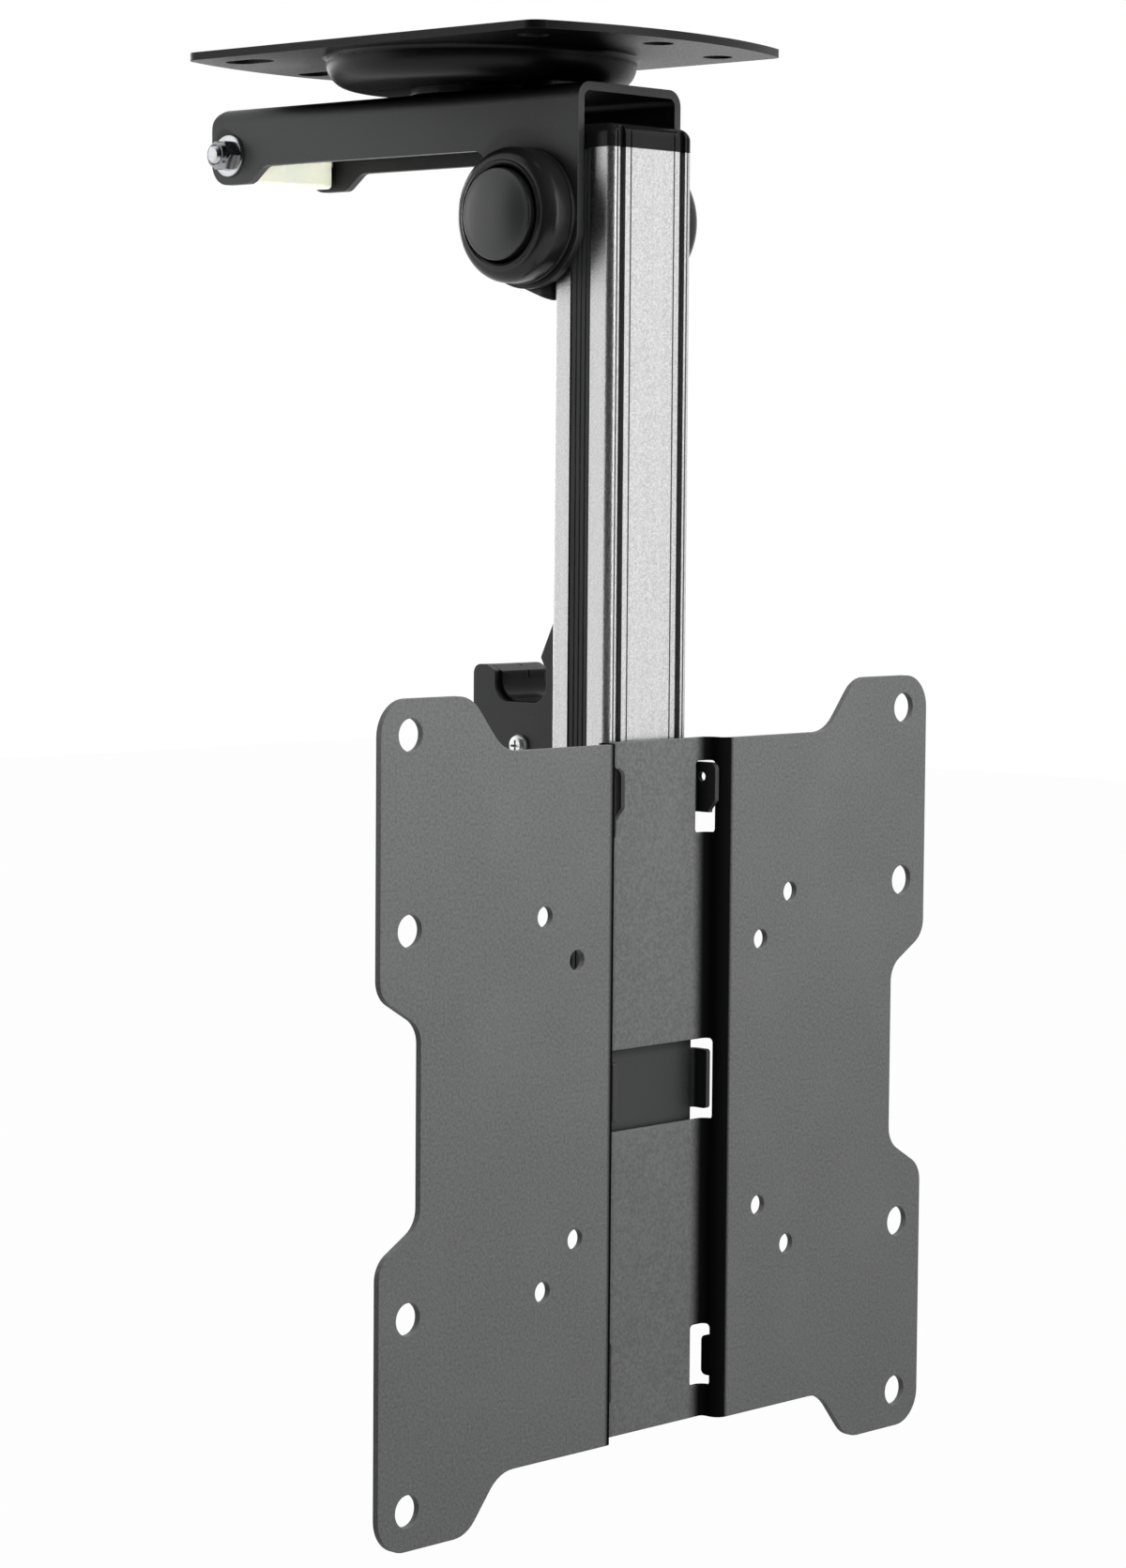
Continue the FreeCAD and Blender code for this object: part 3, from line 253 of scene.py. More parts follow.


# A mask of painted shade that is 1 in the two folds, on the front side
def addFoldShade(tree, where, foldShade):
    fromMiddle = addMath(tree, "ABSOLUTE", splitAxes(tree, where)["X"])
    begins = addRange(tree, fromMiddle, 0.0, 1.0, foldShade["from"], foldShade["full"])
    begins.node.interpolation_type = "SMOOTHSTEP"
    ends = addRange(tree, fromMiddle, 1.0, 0.0, foldShade["until"], foldShade["gone"])
    front = addRange(tree, splitAxes(tree, where.node.outputs["Normal"])["Y"], 1.0, 0.0, 0.1, 0.3)
    return addMath(tree, "MULTIPLY", addMath(tree, "MULTIPLY", begins, ends), front)


# A coat with a fine grain, cloudy patches and edges rubbed here and there, and painted shade in folds and
# hollows where asked
def powderCoat(name, coat, foldShade=None):
    material, tree, shader, where = newMaterial(name, 0.0, coat["specular"])
    edges = softEdges(tree, coatPattern["edge"])
    grain = addNoise(tree, where, coat["grain"], 2.0, 0.5)
    cloud = addNoise(tree, where, coatPattern["patches"], 3.0, 0.55)
    base = coat["colour"]
    light = tuple(c * coatPattern["lighter"] for c in base)
    dark = tuple(c * coatPattern["darker"] for c in base)
    speckle = addColours(tree, grain, [(0.34, dark), (0.5, base), (0.68, light)])
    soft = addColours(tree, cloud, [(0.3, dark), (0.7, light)])
    patches = addMath(tree, "MULTIPLY", cloud, coatPattern["patchShare"])
    coloured = addMix(tree, patches, speckle, soft)
    rubs = addRange(tree, addNoise(tree, where, coatPattern["rubs"], 4.0, 0.7), 0.15, 0.75, 0.35, 0.65)
    rubbed = addMath(tree, "MULTIPLY", edgeMask(tree, edges), rubs)
    coloured = addMix(tree, rubbed, coloured, coat["worn"])
    # Painted shade in the plate's folds: colour painted near-black and shine taken away
    if foldShade:
        share = addFoldShade(tree, where, foldShade)
        coloured = addMix(tree, share, coloured, foldShade["colour"])
        shine = addRange(tree, share, coat["specular"], 0.0, 0.0, 1.0)
        tree.links.new(shine, shader.inputs["Specular IOR Level"])
    # Painted shade in the hollows of the arm and ceiling coats
    if coat["hollow"]:
        coloured = addHollowShade(tree, shader, coloured, coat)
    tree.links.new(coloured, shader.inputs["Base Color"])
    rough = coat["rough"]
    tree.links.new(addRange(tree, grain, rough - 0.05, rough + 0.07), shader.inputs["Roughness"])
    waves = addNoise(tree, where, coatPattern["waves"], 1.0, 0.4)
    rolling = addBump(tree, waves, coat["depth"] * 2, coat["strength"] * 0.4, edges)
    tree.links.new(addBump(tree, grain, coat["depth"], coat["strength"], rolling), shader.inputs["Normal"])
    return material


# Painted shade in the two main grooves of the column's front, which are painted dark inside (m).
# "soft" is the soft edge of the mask, and the painted shade is full from "deep" behind the front
columnGrooveShade = {"fromMiddle": 0.0120, "halfWidth": 0.0011, "shade": 0.62, "soft": 0.00002, "deep": 0.0002,
                "colour": (0.05, 0.05, 0.052)}


# Paints shade into the column's two main grooves
def addGrooveShade(tree, where, coloured):
    along = splitAxes(tree, where)
    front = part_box("column")[0][1]
    soft, half = columnGrooveShade["soft"], columnGrooveShade["halfWidth"]
    away = addMath(tree, "SUBTRACT", addMath(tree, "ABSOLUTE", along["X"]), columnGrooveShade["fromMiddle"])
    inside = addRange(tree, addMath(tree, "ABSOLUTE", away), 1.0, 0.0, half - soft, half + soft)
    low = addRange(tree, along["Y"], 0.0, columnGrooveShade["shade"], front + soft, front + columnGrooveShade["deep"])
    return addMix(tree, addMath(tree, "MULTIPLY", inside, low), coloured, columnGrooveShade["colour"])


# Scales of the patterns, and their colours at each level. "drawn" are the lines along the extrusion
aluminium = {
    "edge": 0.0002,               # m
    "edgeColour": (0.66, 0.66, 0.66),
    "grain": 2100.0,
    "grainColours": [(0.30, (0.46, 0.46, 0.465)), (0.50, (0.64, 0.64, 0.64)), (0.64, (0.84, 0.84, 0.835))],
    "beads": 1900.0,
    "drawn": 900.0,
    "drawnStretch": (1.0, 1.0, 0.006),
    "drawnColours": [(0.35, (0.56, 0.56, 0.565)), (0.65, (0.67, 0.67, 0.665))],
}


# Bead-blasted and anodised aluminium, with its fine sparkle, faint lines along the extrusion and painted
# shade in its two main grooves
def anodised(name):
    material, tree, shader, where = newMaterial(name, 1.0)
    edges = softEdges(tree, aluminium["edge"])
    grain = addNoise(tree, where, aluminium["grain"], 2.0, 0.7)
    beads = tree.nodes.new("ShaderNodeTexVoronoi")
    beads.inputs["Scale"].default_value = aluminium["beads"]
    tree.links.new(where, beads.inputs["Vector"])
    drawn = addNoise(tree, where, aluminium["drawn"], 2.0, 0.5, aluminium["drawnStretch"])
    colour = addColours(tree, grain, aluminium["grainColours"])
    streak = addColours(tree, drawn, aluminium["drawnColours"])
    mixed = addMix(tree, addRange(tree, drawn, 0.15, 0.40), colour, streak)
    coloured = addMix(tree, edgeMask(tree, edges), mixed, aluminium["edgeColour"])
    tree.links.new(addGrooveShade(tree, where, coloured), shader.inputs["Base Color"])
    tree.links.new(addRange(tree, grain, 0.30, 0.48), shader.inputs["Roughness"])
    lines = addBump(tree, drawn, 0.00004, 0.10, edges)
    blasted = addBump(tree, beads.outputs["Distance"], 0.00012, 0.30, lines)
    tree.links.new(addBump(tree, grain, 0.00008, 0.30, blasted), shader.inputs["Normal"])
    return material


plasticPattern = {"edge": 0.0003, "grain": 2600.0, "flow": 60.0, "flowStretch": (1.0, 1.0, 0.4),
                  "lighter": 1.6, "lift": 0.0015}


# Moulded plastic or rubber with faint flow marks
def blackPlastic(name, colour, rough, grainDepth, specular):
    material, tree, shader, where = newMaterial(name, 0.0, specular)
    edges = softEdges(tree, plasticPattern["edge"])
    fine = addNoise(tree, where, plasticPattern["grain"], 2.0, 0.5)
    flow = addNoise(tree, where, plasticPattern["flow"], 2.0, 0.5, plasticPattern["flowStretch"])
    light = tuple(c * plasticPattern["lighter"] + plasticPattern["lift"] for c in colour)
    tree.links.new(addColours(tree, flow, [(0.3, colour), (0.75, light)]), shader.inputs["Base Color"])
    tree.links.new(addRange(tree, flow, rough - 0.04, rough + 0.06), shader.inputs["Roughness"])
    tree.links.new(addBump(tree, fine, grainDepth, 0.2, edges), shader.inputs["Normal"])
    return material


nylonPattern = {"patches": 110.0, "marks": 1500.0, "marksStretch": (1.0, 0.05, 0.05),
                "colours": [(0.3, (0.95, 0.94, 0.76)), (0.7, (0.97, 0.96, 0.83))]}


# Natural nylon: cream, with fine marks of the saw
def creamNylon(name):
    material, tree, shader, where = newMaterial(name, 0.0, 0.45)
    cloud = addNoise(tree, where, nylonPattern["patches"], 3.0, 0.5)
    marks = addNoise(tree, where, nylonPattern["marks"], 1.0, 0.5, nylonPattern["marksStretch"])
    tree.links.new(addColours(tree, cloud, nylonPattern["colours"]), shader.inputs["Base Color"])
    tree.links.new(addRange(tree, cloud, 0.36, 0.48), shader.inputs["Roughness"])
    tree.links.new(addBump(tree, marks, 0.00003, 0.25), shader.inputs["Normal"])
    return material


zincPattern = {"edge": 0.0002, "stains": 330.0, "grain": 3800.0, "dull": 0.72, "warm": (0.98, 0.95, 0.86)}


# Zinc or bare steel, with dull and warm stains and a fine grain
def zincPlate(name, rough, tint):
    material, tree, shader, where = newMaterial(name, 1.0)
    edges = softEdges(tree, zincPattern["edge"])
    stain = addNoise(tree, where, zincPattern["stains"], 4.0, 0.6)
    fine = addNoise(tree, where, zincPattern["grain"], 3.0, 0.6)
    dull = tuple(c * zincPattern["dull"] for c in tint)
    warm = tuple(c * share for c, share in zip(tint, zincPattern["warm"]))
    tree.links.new(addColours(tree, stain, [(0.28, dull), (0.48, tint), (0.72, warm)]),
                   shader.inputs["Base Color"])
    tree.links.new(addRange(tree, stain, rough - 0.06, rough + 0.12), shader.inputs["Roughness"])
    tree.links.new(addBump(tree, fine, 0.00003, 0.25, edges), shader.inputs["Normal"])
    return material


# The arm and ceiling coats are painted darker in their hollows (painted shade)
armCoat = powderCoat("satinBlackCoat", coats["arm"])
# The plate's coat is painted near-black in its two folds (painted shade)
plateCoat = powderCoat("texturedGreyCoat", coats["plate"], plateFoldShade)
ceilingCoat = powderCoat("ceilingPlateCoat", coats["ceiling"])
columnFinish = anodised("blastedAluminium")
coverPlastic = blackPlastic("satinCoverPlastic", (0.004, 0.004, 0.004), 0.23, 0.00001, 0.34)
buttonPlastic = blackPlastic("buttonPlastic", (0.015, 0.016, 0.0155), 0.36, 0.00003, 0.6)
capPlastic = blackPlastic("capPlastic", (0.004, 0.004, 0.004), 0.20, 0.00001, 0.16)
stripRubber = blackPlastic("stripRubber", (0.026, 0.027, 0.0265), 0.50, 0.00005, 0.3)
linerPlastic = blackPlastic("linerPlastic", (0.003, 0.003, 0.003), 0.20, 0.00002, 0.12)
nylon = creamNylon("creamNylon")
zinc = zincPlate("brightZinc", 0.24, (0.60, 0.63, 0.66))
screwZinc = zincPlate("whiteZinc", 0.36, (0.88, 0.89, 0.90))
darkZinc = zincPlate("nutZinc", 0.22, (0.34, 0.35, 0.37))
springSteel = zincPlate("springSteel", 0.30, (0.50, 0.50, 0.51))

finishes = {
    "ceiling_plate": ceilingCoat,
    "arm_channel": armCoat,
    "hinge_bracket": armCoat,
    "latch_bracket": armCoat,
    "spring_seat": armCoat,
    "plate_carrier": armCoat,
    "tv_plate": plateCoat,
    "column": columnFinish,
    "column_top_cap": capPlastic,
    "column_bottom_cap": capPlastic,
    "slot_strip_left": stripRubber,
    "slot_strip_right": stripRubber,
    "latch_liner": linerPlastic,
    "catch_block": nylon,
    "hinge_tube": springSteel,
    "latch_spring": springSteel,
    "spring_pin": springSteel,
    "latch_liner_screws": screwZinc,
    "swivel_friction_disc": linerPlastic,
    "hinge_friction_washer_left": stripRubber,
    "hinge_friction_washer_right": stripRubber,
    "hinge_cover_left": coverPlastic,
    "hinge_cover_right": coverPlastic,
    "hinge_button_left": coverPlastic,
    "hinge_button_right": coverPlastic,
}
for name, node in cad.items():
    node.data.materials.clear()
    node.data.materials.append(finishes.get(name, zinc))
print("materials made")


# Corner points (along the axis, radius, rounding) become a line with an arc at each rounded corner, all in mm
def roundedLine(corners, arcSteps):
    line = []
    last = len(corners) - 1
    for i, (x, r, soft) in enumerate(corners):
        here = Vector((x, r))
        if soft <= 0 or i in (0, last):
            line.append((x, r))
            continue
        back = (Vector(corners[i - 1][:2]) - here).normalized()
        ahead = (Vector(corners[i + 1][:2]) - here).normalized()
        half = back.angle(ahead) / 2
        if half > math.pi / 2 - 0.01:        # nearly straight
            line.append((x, r))
            continue
        centre = here + (back + ahead).normalized() * (soft / math.sin(half))
        start = here + back * (soft / math.tan(half)) - centre
        end = here + ahead * (soft / math.tan(half)) - centre
        sweep = start.angle_signed(end)
        for step in range(arcSteps + 1):
            turned = Matrix.Rotation(-sweep * step / arcSteps, 2) @ start
            line.append(tuple(centre + turned))
    return line


poleRadius = 0.02      # mm, the last ring before a closed end


# A turned piece: a ring is drawn at the first point, then extruded, moved and scaled from point to point.
# "axis" is X or Z, "toward" is 1 or -1, "middle" is the axis's place in mm
def turnPiece(name, line, middle, axis, toward, around, closed=True):
    nothingSelected()
    along = Vector((1, 0, 0)) if axis == "X" else Vector((0, 0, 1))
    spin = (0, math.radians(90), 0) if axis == "X" else (0, 0, 0)
    first = line[0]
    centre = (Vector(middle) + along * (first[0] * toward)) * mm
    bpy.ops.mesh.primitive_circle_add(vertices=around, radius=first[1] * mm, fill_type="NOTHING",
                                      location=centre, rotation=spin)
    piece = bpy.context.object
    piece.name = name
    editOn(piece)
    bpy.ops.mesh.select_mode(type="EDGE")
    bpy.ops.mesh.select_all(action="SELECT")
    for (x0, r0), (x1, r1) in zip(line, line[1:]):
        step = along * ((x1 - x0) * toward * mm)
        bpy.ops.mesh.extrude_region_move(TRANSFORM_OT_translate={"value": step})
        centre = (Vector(middle) + along * (x1 * toward)) * mm
        grow = r1 / r0
        factors = (1, grow, grow) if axis == "X" else (grow, grow, 1)
        bpy.ops.transform.resize(value=factors, center_override=centre)
    if not closed:
        bpy.ops.mesh.merge(type="CENTER")
    bpy.ops.mesh.select_all(action="SELECT")
    bpy.ops.mesh.remove_doubles(threshold=0.000002)
    bpy.ops.mesh.normals_make_consistent(inside=False)
    editOff()
    return piece


# The same piece on the other side of the mount, with a mesh of its own
def otherSide(piece, name, body, stands):
    twin = piece.copy()
    twin.data = piece.data.copy()
    twin.name = name
    twin.data.name = name
    bpy.context.scene.collection.objects.link(twin)
    editOn(twin)
    bpy.ops.mesh.select_all(action="SELECT")
    bpy.ops.transform.resize(value=(-1, 1, 1), center_override=(0, 0, 0))
    bpy.ops.mesh.normals_make_consistent(inside=False)
    editOff()
    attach(twin, body)
    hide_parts(stands)


def middleOf(node):
    low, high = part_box(node)
    return [(low[i] + high[i]) / 2 / mm for i in range(3)]


def joinPieces(pieces):
    makeActive(pieces[0])
    for other in pieces[1:]:
        other.select_set(True)
    bpy.ops.object.join()
    return bpy.context.object


# Hinge cover: a base flange, a parting groove, a barrel that narrows in one long curve, and a rolled lip
hingeCover = {
    "flange": (1.5, 18.4),        # length, radius, mm
    "edges": (0.25, 0.2),         # roundings at the base, and at the groove
    "groove": 0.45,               # depth of the parting line
    "grooveFloor": (0.12, 0.38),  # from where to where, past the flange
    "barrelStart": 0.5,           # past the flange
    "barrelStep": 0.05,           # how far the barrel stands below the flange
    "barrelEnd": 6.2,
    "lip": (10.75, 14.5),         # where the lip's crest is: length, radius
    "lipRound": 0.55,
    "bore": 13.05,
    "boreFloor": 2.0,
    "mouth": (2.2, 0.12),         # the bore's wider mouth: length, how much wider
    "wall": 1.4,
    "curveSteps": 14,
}


def makeHingeCover():
    middle = middleOf("hinge_cover_left")
    middle[0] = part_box("hinge_cover_left")[1][0] / mm
    flange, radius = hingeCover["flange"]
    crest, crestRadius = hingeCover["lip"]
    start = hingeCover["barrelEnd"]
    soft = hingeCover["lipRound"]
    bore, floor, wall = hingeCover["bore"], hingeCover["boreFloor"], hingeCover["wall"]
    floorOfGroove = radius - hingeCover["groove"]
    grooveFrom, grooveTo = hingeCover["grooveFloor"]
    barrel = radius - hingeCover["barrelStep"]
    baseRound, grooveRound = hingeCover["edges"]
    mouth, flare = hingeCover["mouth"]
    corners = [(0.0, bore + wall, 0), (0.0, radius, baseRound), (flange, radius, grooveRound),
               (flange + grooveFrom, floorOfGroove, 0.0), (flange + grooveTo, floorOfGroove, 0.0),
               (flange + hingeCover["barrelStart"], barrel, grooveRound)]
    line = roundedLine(corners + [(start, barrel, 0)], 3)
    endX, endR = crest - soft, crestRadius + soft * 0.4
    for step in range(1, hingeCover["curveSteps"] + 1):
        turn = math.pi / 2 * step / hingeCover["curveSteps"]
        across = endR + (barrel - endR) * math.cos(turn)
        line.append((start + (endX - start) * math.sin(turn), across))
    line += [(crest - soft * 0.3, crestRadius + soft * 0.05), (crest, crestRadius - soft * 0.7),
             (crest - soft * 0.25, crestRadius - soft * 1.35), (crest - soft * 0.9, bore + flare),
             (crest - mouth, bore), (floor, bore), (floor, bore + wall), (0.0, bore + wall)]
    cover = turnPiece("hingeCoverLeft", line, middle, "X", -1, 128)
    finishPiece(cover, "hingeCoverLeft", "arm", coverPlastic, "hinge_cover_left", 40)
    otherSide(cover, "hingeCoverRight", "arm", "hinge_cover_right")


# Hinge button: a domed cap with a soft shoulder
hingeButton = {
    "radius": 12.5,
    "length": 14.35,
    "dome": 2.0,
    "domeSteps": 9,
    "shoulder": 0.8,
    "shoulderSteps": 8,
    "foot": (0.6, 0.9, 0.25),     # its slope's start and end, and how much smaller the start is
    "wall": 2.0,
    "faceShare": 0.35,            # share of the shoulder that has the face's finish
}


def makeHingeButton():
    middle = middleOf("hinge_button_left")
    middle[0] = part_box("hinge_button_left")[1][0] / mm
    radius, length = hingeButton["radius"], hingeButton["length"]
    edgeX = length - hingeButton["dome"]
    soft = hingeButton["shoulder"]
    footStart, footEnd, footSlope = hingeButton["foot"]
    line = [(footStart, radius - hingeButton["wall"]), (footStart, radius - footSlope), (footEnd, radius)]
    for step in range(hingeButton["shoulderSteps"] + 1):
        turn = math.pi / 2 * step / hingeButton["shoulderSteps"]
        line.append((edgeX - soft + soft * math.sin(turn), radius - soft + soft * math.cos(turn)))
    edge = radius - soft
    for step in range(1, hingeButton["domeSteps"]):
        share = 1 - step / hingeButton["domeSteps"]
        line.append((edgeX + hingeButton["dome"] * (1 - share ** 2), edge * share))
    line.append((length, poleRadius))
    button = turnPiece("hingeButtonLeft", line, middle, "X", -1, 128, closed=False)
    finishPiece(button, "hingeButtonLeft", "arm", coverPlastic, "hinge_button_left", 50)
    button.data.materials.append(buttonPlastic)
    face = (middle[0] - edgeX + soft * hingeButton["faceShare"]) * mm
    for polygon in button.data.polygons:
        if polygon.center.x < face:
            polygon.material_index = 1
    otherSide(button, "hingeButtonRight", "arm", "hinge_button_right")


# "play" is the gap round the bolt. The large rounding is "round", or "roundShare" of the thickness if less,
# the small one is "sharp", and the one at the hole is "holeShare" of the large one
washers = {"play": 0.1, "round": 0.35, "roundShare": 0.35, "sharp": 0.1, "holeShare": 0.6}


# A stamped washer: one rounded edge, one sharper
def makeWasher(name, node, axis, toward, boltRadius):
    low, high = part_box(node)
    index = 0 if axis == "X" else 2
    thick = (high[index] - low[index]) / mm
    radius = (high[1] - low[1]) / mm / 2
    middle = middleOf(node)
    middle[index] = (low[index] if toward > 0 else high[index]) / mm
    hole = boltRadius + washers["play"]
    soft = min(washers["round"], thick * washers["roundShare"])
    corners = [(0.0, hole, 0), (0.0, radius, washers["sharp"]), (thick, radius, soft),
               (thick, hole, soft * washers["holeShare"]), (0.0, hole, 0)]
    washer = turnPiece(name, roundedLine(corners, 4), middle, axis, toward, 80)
    finishPiece(washer, name, "arm", zinc, node, 35)


# "wide" and "face" are shares of the width across flats: the blank's radius, and its outer face's.
# One face closes each end, out to the share "open" of the end's radius. "slope" is the corners' length along
# the axis, as a share of the step between wide and face, "seatRing" how far a ring lies from the seat (mm),
# and "soften" the bevel of the edges (m)
hexagonBlank = {"wide": 0.62, "face": 0.475, "open": 0.4, "slope": 0.58, "seatRing": 0.02,
                "soften": 0.00012}


# Hexagon with turned corners: a six-sided prism met with a turned blank
def makeHexagon(name, flats, length, middle, axis, toward):
    nothingSelected()
    along = Vector((1, 0, 0)) if axis == "X" else Vector((0, 0, 1))
    spin = (0, math.radians(90), 0) if axis == "X" else (0, 0, math.radians(90))
    place = (Vector(middle) + along * (length / 2 * toward)) * mm
    bpy.ops.mesh.primitive_cylinder_add(vertices=6, radius=flats / math.sqrt(3) * mm, depth=length * mm,
                                        location=place, rotation=spin)
    prism = bpy.context.object
    prism.name = name
    makeActive(prism)
    bpy.ops.object.transform_apply(location=True, rotation=True, scale=True)
    wide = flats * hexagonBlank["wide"]
    face = flats * hexagonBlank["face"]
    slope = (wide - face) * hexagonBlank["slope"]
    line = [(0.0, wide * hexagonBlank["open"]), (0.0, wide), (hexagonBlank["seatRing"], wide),
            (length - slope, wide), (length, face), (length, face * hexagonBlank["open"])]
    blank = turnPiece(name + "Blank", line, middle, axis, toward, 72)
    editOn(blank)
    bpy.ops.mesh.select_mode(type="EDGE")
    bpy.ops.mesh.select_all(action="DESELECT")
    bpy.ops.mesh.select_non_manifold()
    bpy.ops.mesh.edge_face_add()
    bpy.ops.mesh.select_all(action="SELECT")
    bpy.ops.mesh.normals_make_consistent(inside=False)
    editOff()
    meet = prism.modifiers.new("turnedCorners", "BOOLEAN")
    meet.operation = "INTERSECT"
    meet.solver = "EXACT"
    meet.object = blank
    useModifiers(prism)
    bpy.data.objects.remove(blank)
    soften = prism.modifiers.new("soften", "BEVEL")
    soften.width = hexagonBlank["soften"]
    soften.segments = 2
    soften.limit_method = "ANGLE"
    soften.angle_limit = math.radians(24)
    useModifiers(prism)
    return prism


# Threads: the line along a bolt's side, ridge after ridge. A ridge is as long as the pitch, or longer where
# that fills the thread, and its flat top is 0.24 of that length
def threadLine(start, end, radius, pitch, depth):
    line = []
    count = max(1, int(abs(end - start) / pitch))
    step = (end - start) / count
    for i in range(count):
        line += [(start + step * (i + 0.12), radius), (start + step * (i + 0.5), radius - depth),
                 (start + step * (i + 0.88), radius)]
    return line


nutCollar = {"taper": 0.3, "slope": 0.1}     # mm: how much wider at the step, how far the top slopes in


# A nut: a hexagon with a turned collar on top, that holds a ring. Lengths run from the nut's seat
def makeNut(name, node, sizes, middle, axis, around, finish):
    radius, length = sizes["radius"], sizes["nut"]
    hexLength = length * sizes["hexShare"]
    hexagon = makeHexagon(name, sizes["flats"], hexLength, middle, axis, -1)
    lip, lipRound = sizes["collar"]
    sunk, wider = sizes["collarFoot"]
    past, stepRound = sizes["collarStep"]
    insert, depth, topRound, lowRound = sizes["insert"]
    corners = [(hexLength - sunk, radius, 0), (hexLength - sunk, lip + wider, 0),
               (hexLength + past, lip + nutCollar["taper"], stepRound),
               (length, lip, lipRound), (length - nutCollar["slope"], insert, topRound),
               (length - depth, insert, lowRound), (length - depth, radius, 0),
               (hexLength - sunk, radius, 0)]
    collar = turnPiece(name + "Collar", roundedLine(corners, 5), middle, axis, -1, around)
    nut = joinPieces([hexagon, collar])
    finishPiece(nut, name, "arm", finish, node, 30)


# A bolt: a turned shank along the line, and a hexagon for a head
def makeBolt(name, node, sizes, line, middle, headStart, axis, around):
    shank = turnPiece(name + "Shank", line[::-1], middle, axis, 1, around, closed=False)
    head = makeHexagon(name + "Head", sizes["flats"], sizes["head"], headStart, axis, 1)
    bolt = joinPieces([shank, head])
    finishPiece(bolt, name, "arm", zinc, node, 30)


# Both bolts and their nuts, mm
catchBolt = {
    "radius": 2.5,
    "flats": 8.0,
    "head": 3.5,
    "tip": (0.35, 0.03, 0.78),    # share of the radius at the end, then where the slope ends and its share
    "thread": (0.45, 8.45),       # from where to where
    "threadDepth": 0.42,
    "pitch": 0.8,
    "plainFrom": 9.0,
    "nut": 5.0,                   # length
    "hexShare": 0.68,             # share of that length that is hexagon
    "collar": (3.55, 0.45),       # radius, rounding on top
    "collarFoot": (0.8, 0.35),    # sunk into the hexagon, and wider than the collar
    "collarStep": (0.2, 0.3),     # past the hexagon, rounding
    "insert": (2.9, 0.9, 0.2, 0.1),    # the ring's hole: radius, depth, roundings at the top and below
}
swivelBolt = {
    "radius": 5.0,
    "flats": 17.0,
    "head": 5.0,
    "tip": (0.5, 0.05, 0.82),
    "thread": (0.7, 14.2),
    "threadDepth": 0.8,
    "pitch": 1.5,
    "nut": 8.0,
    "hexShare": 0.72,
    "collar": (7.0, 0.7),
    "collarFoot": (1.0, 0.4),
    "collarStep": (0.4, 0.5),
    "insert": (5.5, 1.3, 0.3, 0.2),
}


# The bolt's free end and its thread, from the end inwards
def boltEnd(sizes):
    radius = sizes["radius"]
    flat, slopeEnd, slopeShare = sizes["tip"]
    start, end = sizes["thread"]
    line = [(0.0, poleRadius), (0.0, radius * flat), (slopeEnd, radius * slopeShare)]
    return line + threadLine(start, end, radius, sizes["pitch"], sizes["threadDepth"])


def makeCatchFasteners():
    radius = catchBolt["radius"]
    makeWasher("catchWasherLeft", "catch_washer_left", "X", -1, radius)
    makeWasher("catchWasherRight", "catch_washer_right", "X", 1, radius)

    seat = middleOf("catch_nut")
    seat[0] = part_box("catch_nut")[1][0] / mm
    makeNut("catchNut", "catch_nut", catchBolt, seat, "X", 72, darkZinc)

    low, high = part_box("catch_bolt")
    outer = middleOf("catch_bolt")
    outer[0] = low[0] / mm
    headStart = list(outer)
    headStart[0] = high[0] / mm - catchBolt["head"]
    length = (high[0] - low[0]) / mm - catchBolt["head"]
    line = boltEnd(catchBolt) + [(catchBolt["plainFrom"], radius), (length, radius), (length, poleRadius)]
    makeBolt("catchBolt", "catch_bolt", catchBolt, line, outer, headStart, "X", 56)


def makeSwivelFasteners():
    radius = swivelBolt["radius"]
    makeWasher("swivelUpperWasher", "swivel_upper_washer", "Z", 1, radius)
    makeWasher("swivelLowerWasher", "swivel_lower_washer", "Z", -1, radius)
    seat = [0.0, 0.0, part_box("swivel_nut")[1][2] / mm]
    makeNut("swivelNut", "swivel_nut", swivelBolt, seat, "Z", 80, zinc)

    low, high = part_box("swivel_bolt")
    end = [0.0, 0.0, low[2] / mm]
    headStart = [0.0, 0.0, high[2] / mm - swivelBolt["head"]]
    length = headStart[2] - end[2]
    line = boltEnd(swivelBolt) + [(length, radius), (length, poleRadius)]
    makeBolt("swivelBolt", "swivel_bolt", swivelBolt, line, end, headStart, "Z", 64)


makeHingeCover()
makeHingeButton()
print("hinge covers and buttons made")
makeCatchFasteners()
makeSwivelFasteners()
print("nuts, bolts and washers made")


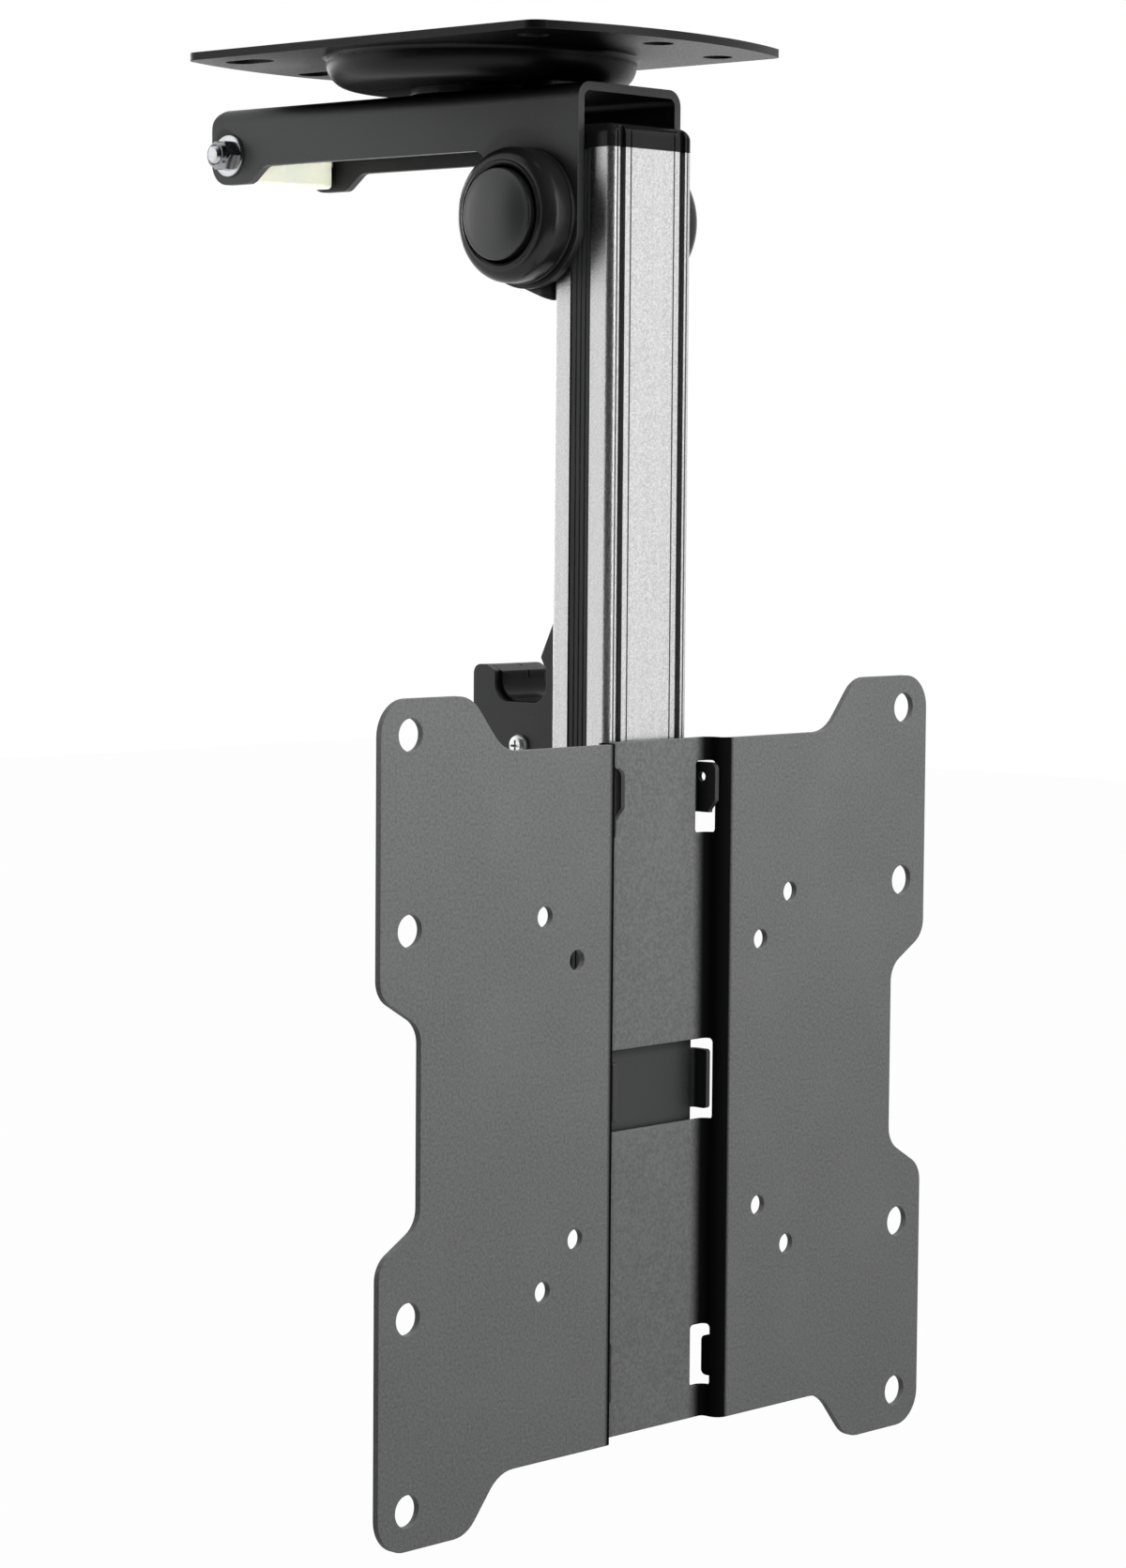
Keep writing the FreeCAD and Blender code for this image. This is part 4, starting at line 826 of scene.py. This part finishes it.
room = {
    "floorDrop": 1.25,          # metres below the ceiling plate
    "floorSize": 24.0,
    "floorColour": (0.86, 0.86, 0.86),
    "floorGlow": 0.975,         # share of plain white that is seen, the rest shows the object's shadow
    "daylight": 0.30,
    "lamps": {
        # name: place (m), aimed at, size (m), spread (degrees), power (W)
        "leftSoftbox": ((-1.05, 0.95, 0.0), (0.0, 0.0, -0.1), (0.7, 0.9), 180, 0.8),
        "rightStrip": ((0.38, -0.95, 0.05), (0.0, 0.0, -0.15), (0.26, 0.9), 180, 2.6),
        "topFront": ((-0.05, -0.50, 0.24), (0.0, -0.07, -0.22), (0.5, 0.2), 110, 2.3),
        "underArm": ((-0.70, -0.25, -0.55), (0.01, 0.070, -0.03), (0.12, 0.12), 10, 0.108),
        "rearFill": ((0.4, 1.9, 0.3), (0.0, 0.0, -0.2), (1.4, 1.0), 180, 9.0),
    },
    "noHighlight": ("underArm", "topFront"),
    "cardColour": (0.02, 0.02, 0.02),
    # dark studio walls behind and beside the camera, that only reflections show: place (m), faces, size (m)
    "darkCards": {
        "cardFrontLeft": ((-2.0, -1.95, 1.2), (0.0, 0.0, 1.2), (4.4, 8.0)),
        "cardLeft": ((-2.6, 0.15, 1.2), (0.0, 0.0, 1.2), (2.2, 8.0)),
        "cardFront": ((0.35, -2.6, 1.2), (0.0, 0.0, 1.2), (2.4, 8.0)),
    },
}


# 1 for the camera, and for what mirrors and glass show
def seenRays(tree):
    path = tree.nodes.new("ShaderNodeLightPath")
    seen = path.outputs["Is Camera Ray"]
    for ray in ("Is Glossy Ray", "Is Transmission Ray"):
        seen = addMath(tree, "MAXIMUM", seen, path.outputs[ray])
    return seen


def addWorld():
    world = bpy.data.worlds.new("studio")
    bpy.context.scene.world = world
    world.use_nodes = True
    tree = world.node_tree
    sky = tree.nodes["Background"]
    sky.inputs["Color"].default_value = (1, 1, 1, 1)
    tree.links.new(addRange(tree, seenRays(tree), room["daylight"], 1.0, 0.0, 1.0), sky.inputs["Strength"])


def addFloor():
    nothingSelected()
    bpy.ops.mesh.primitive_plane_add(size=room["floorSize"], location=(0, 0, -room["floorDrop"]))
    floor = bpy.context.object
    floor.name = "floor"
    material = bpy.data.materials.new("whiteFloor")
    material.use_nodes = True
    tree = material.node_tree
    paint = tree.nodes["Principled BSDF"]
    paint.inputs["Base Color"].default_value = (*room["floorColour"], 1)
    paint.inputs["Roughness"].default_value = 0.8
    glow = tree.nodes.new("ShaderNodeEmission")
    glow.inputs["Strength"].default_value = 1.0
    mix = tree.nodes.new("ShaderNodeMixShader")
    tree.links.new(addRange(tree, seenRays(tree), 0.0, room["floorGlow"], 0.0, 1.0), mix.inputs["Fac"])
    tree.links.new(paint.outputs["BSDF"], mix.inputs[1])
    tree.links.new(glow.outputs["Emission"], mix.inputs[2])
    tree.links.new(mix.outputs["Shader"], tree.nodes["Material Output"].inputs["Surface"])
    floor.data.materials.append(material)


def addDarkCards():
    darkPaint = bpy.data.materials.new("darkCard")
    darkPaint.use_nodes = True
    paint = darkPaint.node_tree.nodes["Principled BSDF"]
    paint.inputs["Base Color"].default_value = (*room["cardColour"], 1)
    paint.inputs["Roughness"].default_value = 0.9
    for name, (place, target, size) in room["darkCards"].items():
        nothingSelected()
        aim = Vector(target) - Vector(place)
        bpy.ops.mesh.primitive_plane_add(size=1.0, location=place,
                                         rotation=aim.to_track_quat("Z", "Y").to_euler())
        card = bpy.context.object
        card.name = name
        card.scale = (size[0], size[1], 1.0)
        card.data.materials.append(darkPaint)
        card.visible_camera = False
        card.visible_diffuse = False
        card.visible_shadow = False


def addLamps():
    for name, (place, target, size, spread, power) in room["lamps"].items():
        lamp = bpy.data.lights.new(name, "AREA")
        lamp.spread = math.radians(spread)
        lamp.shape = "RECTANGLE"
        lamp.size, lamp.size_y = size
        lamp.energy = power
        holder = bpy.data.objects.new(name, lamp)
        bpy.context.scene.collection.objects.link(holder)
        holder.location = place
        holder.visible_glossy = name not in room["noHighlight"]
        aim = Vector(target) - Vector(place)
        holder.rotation_euler = aim.to_track_quat("-Z", "Y").to_euler()


addWorld()
addFloor()
addDarkCards()
addLamps()
bpy.context.scene.view_settings.view_transform = "Standard"
print("room and lamps placed")
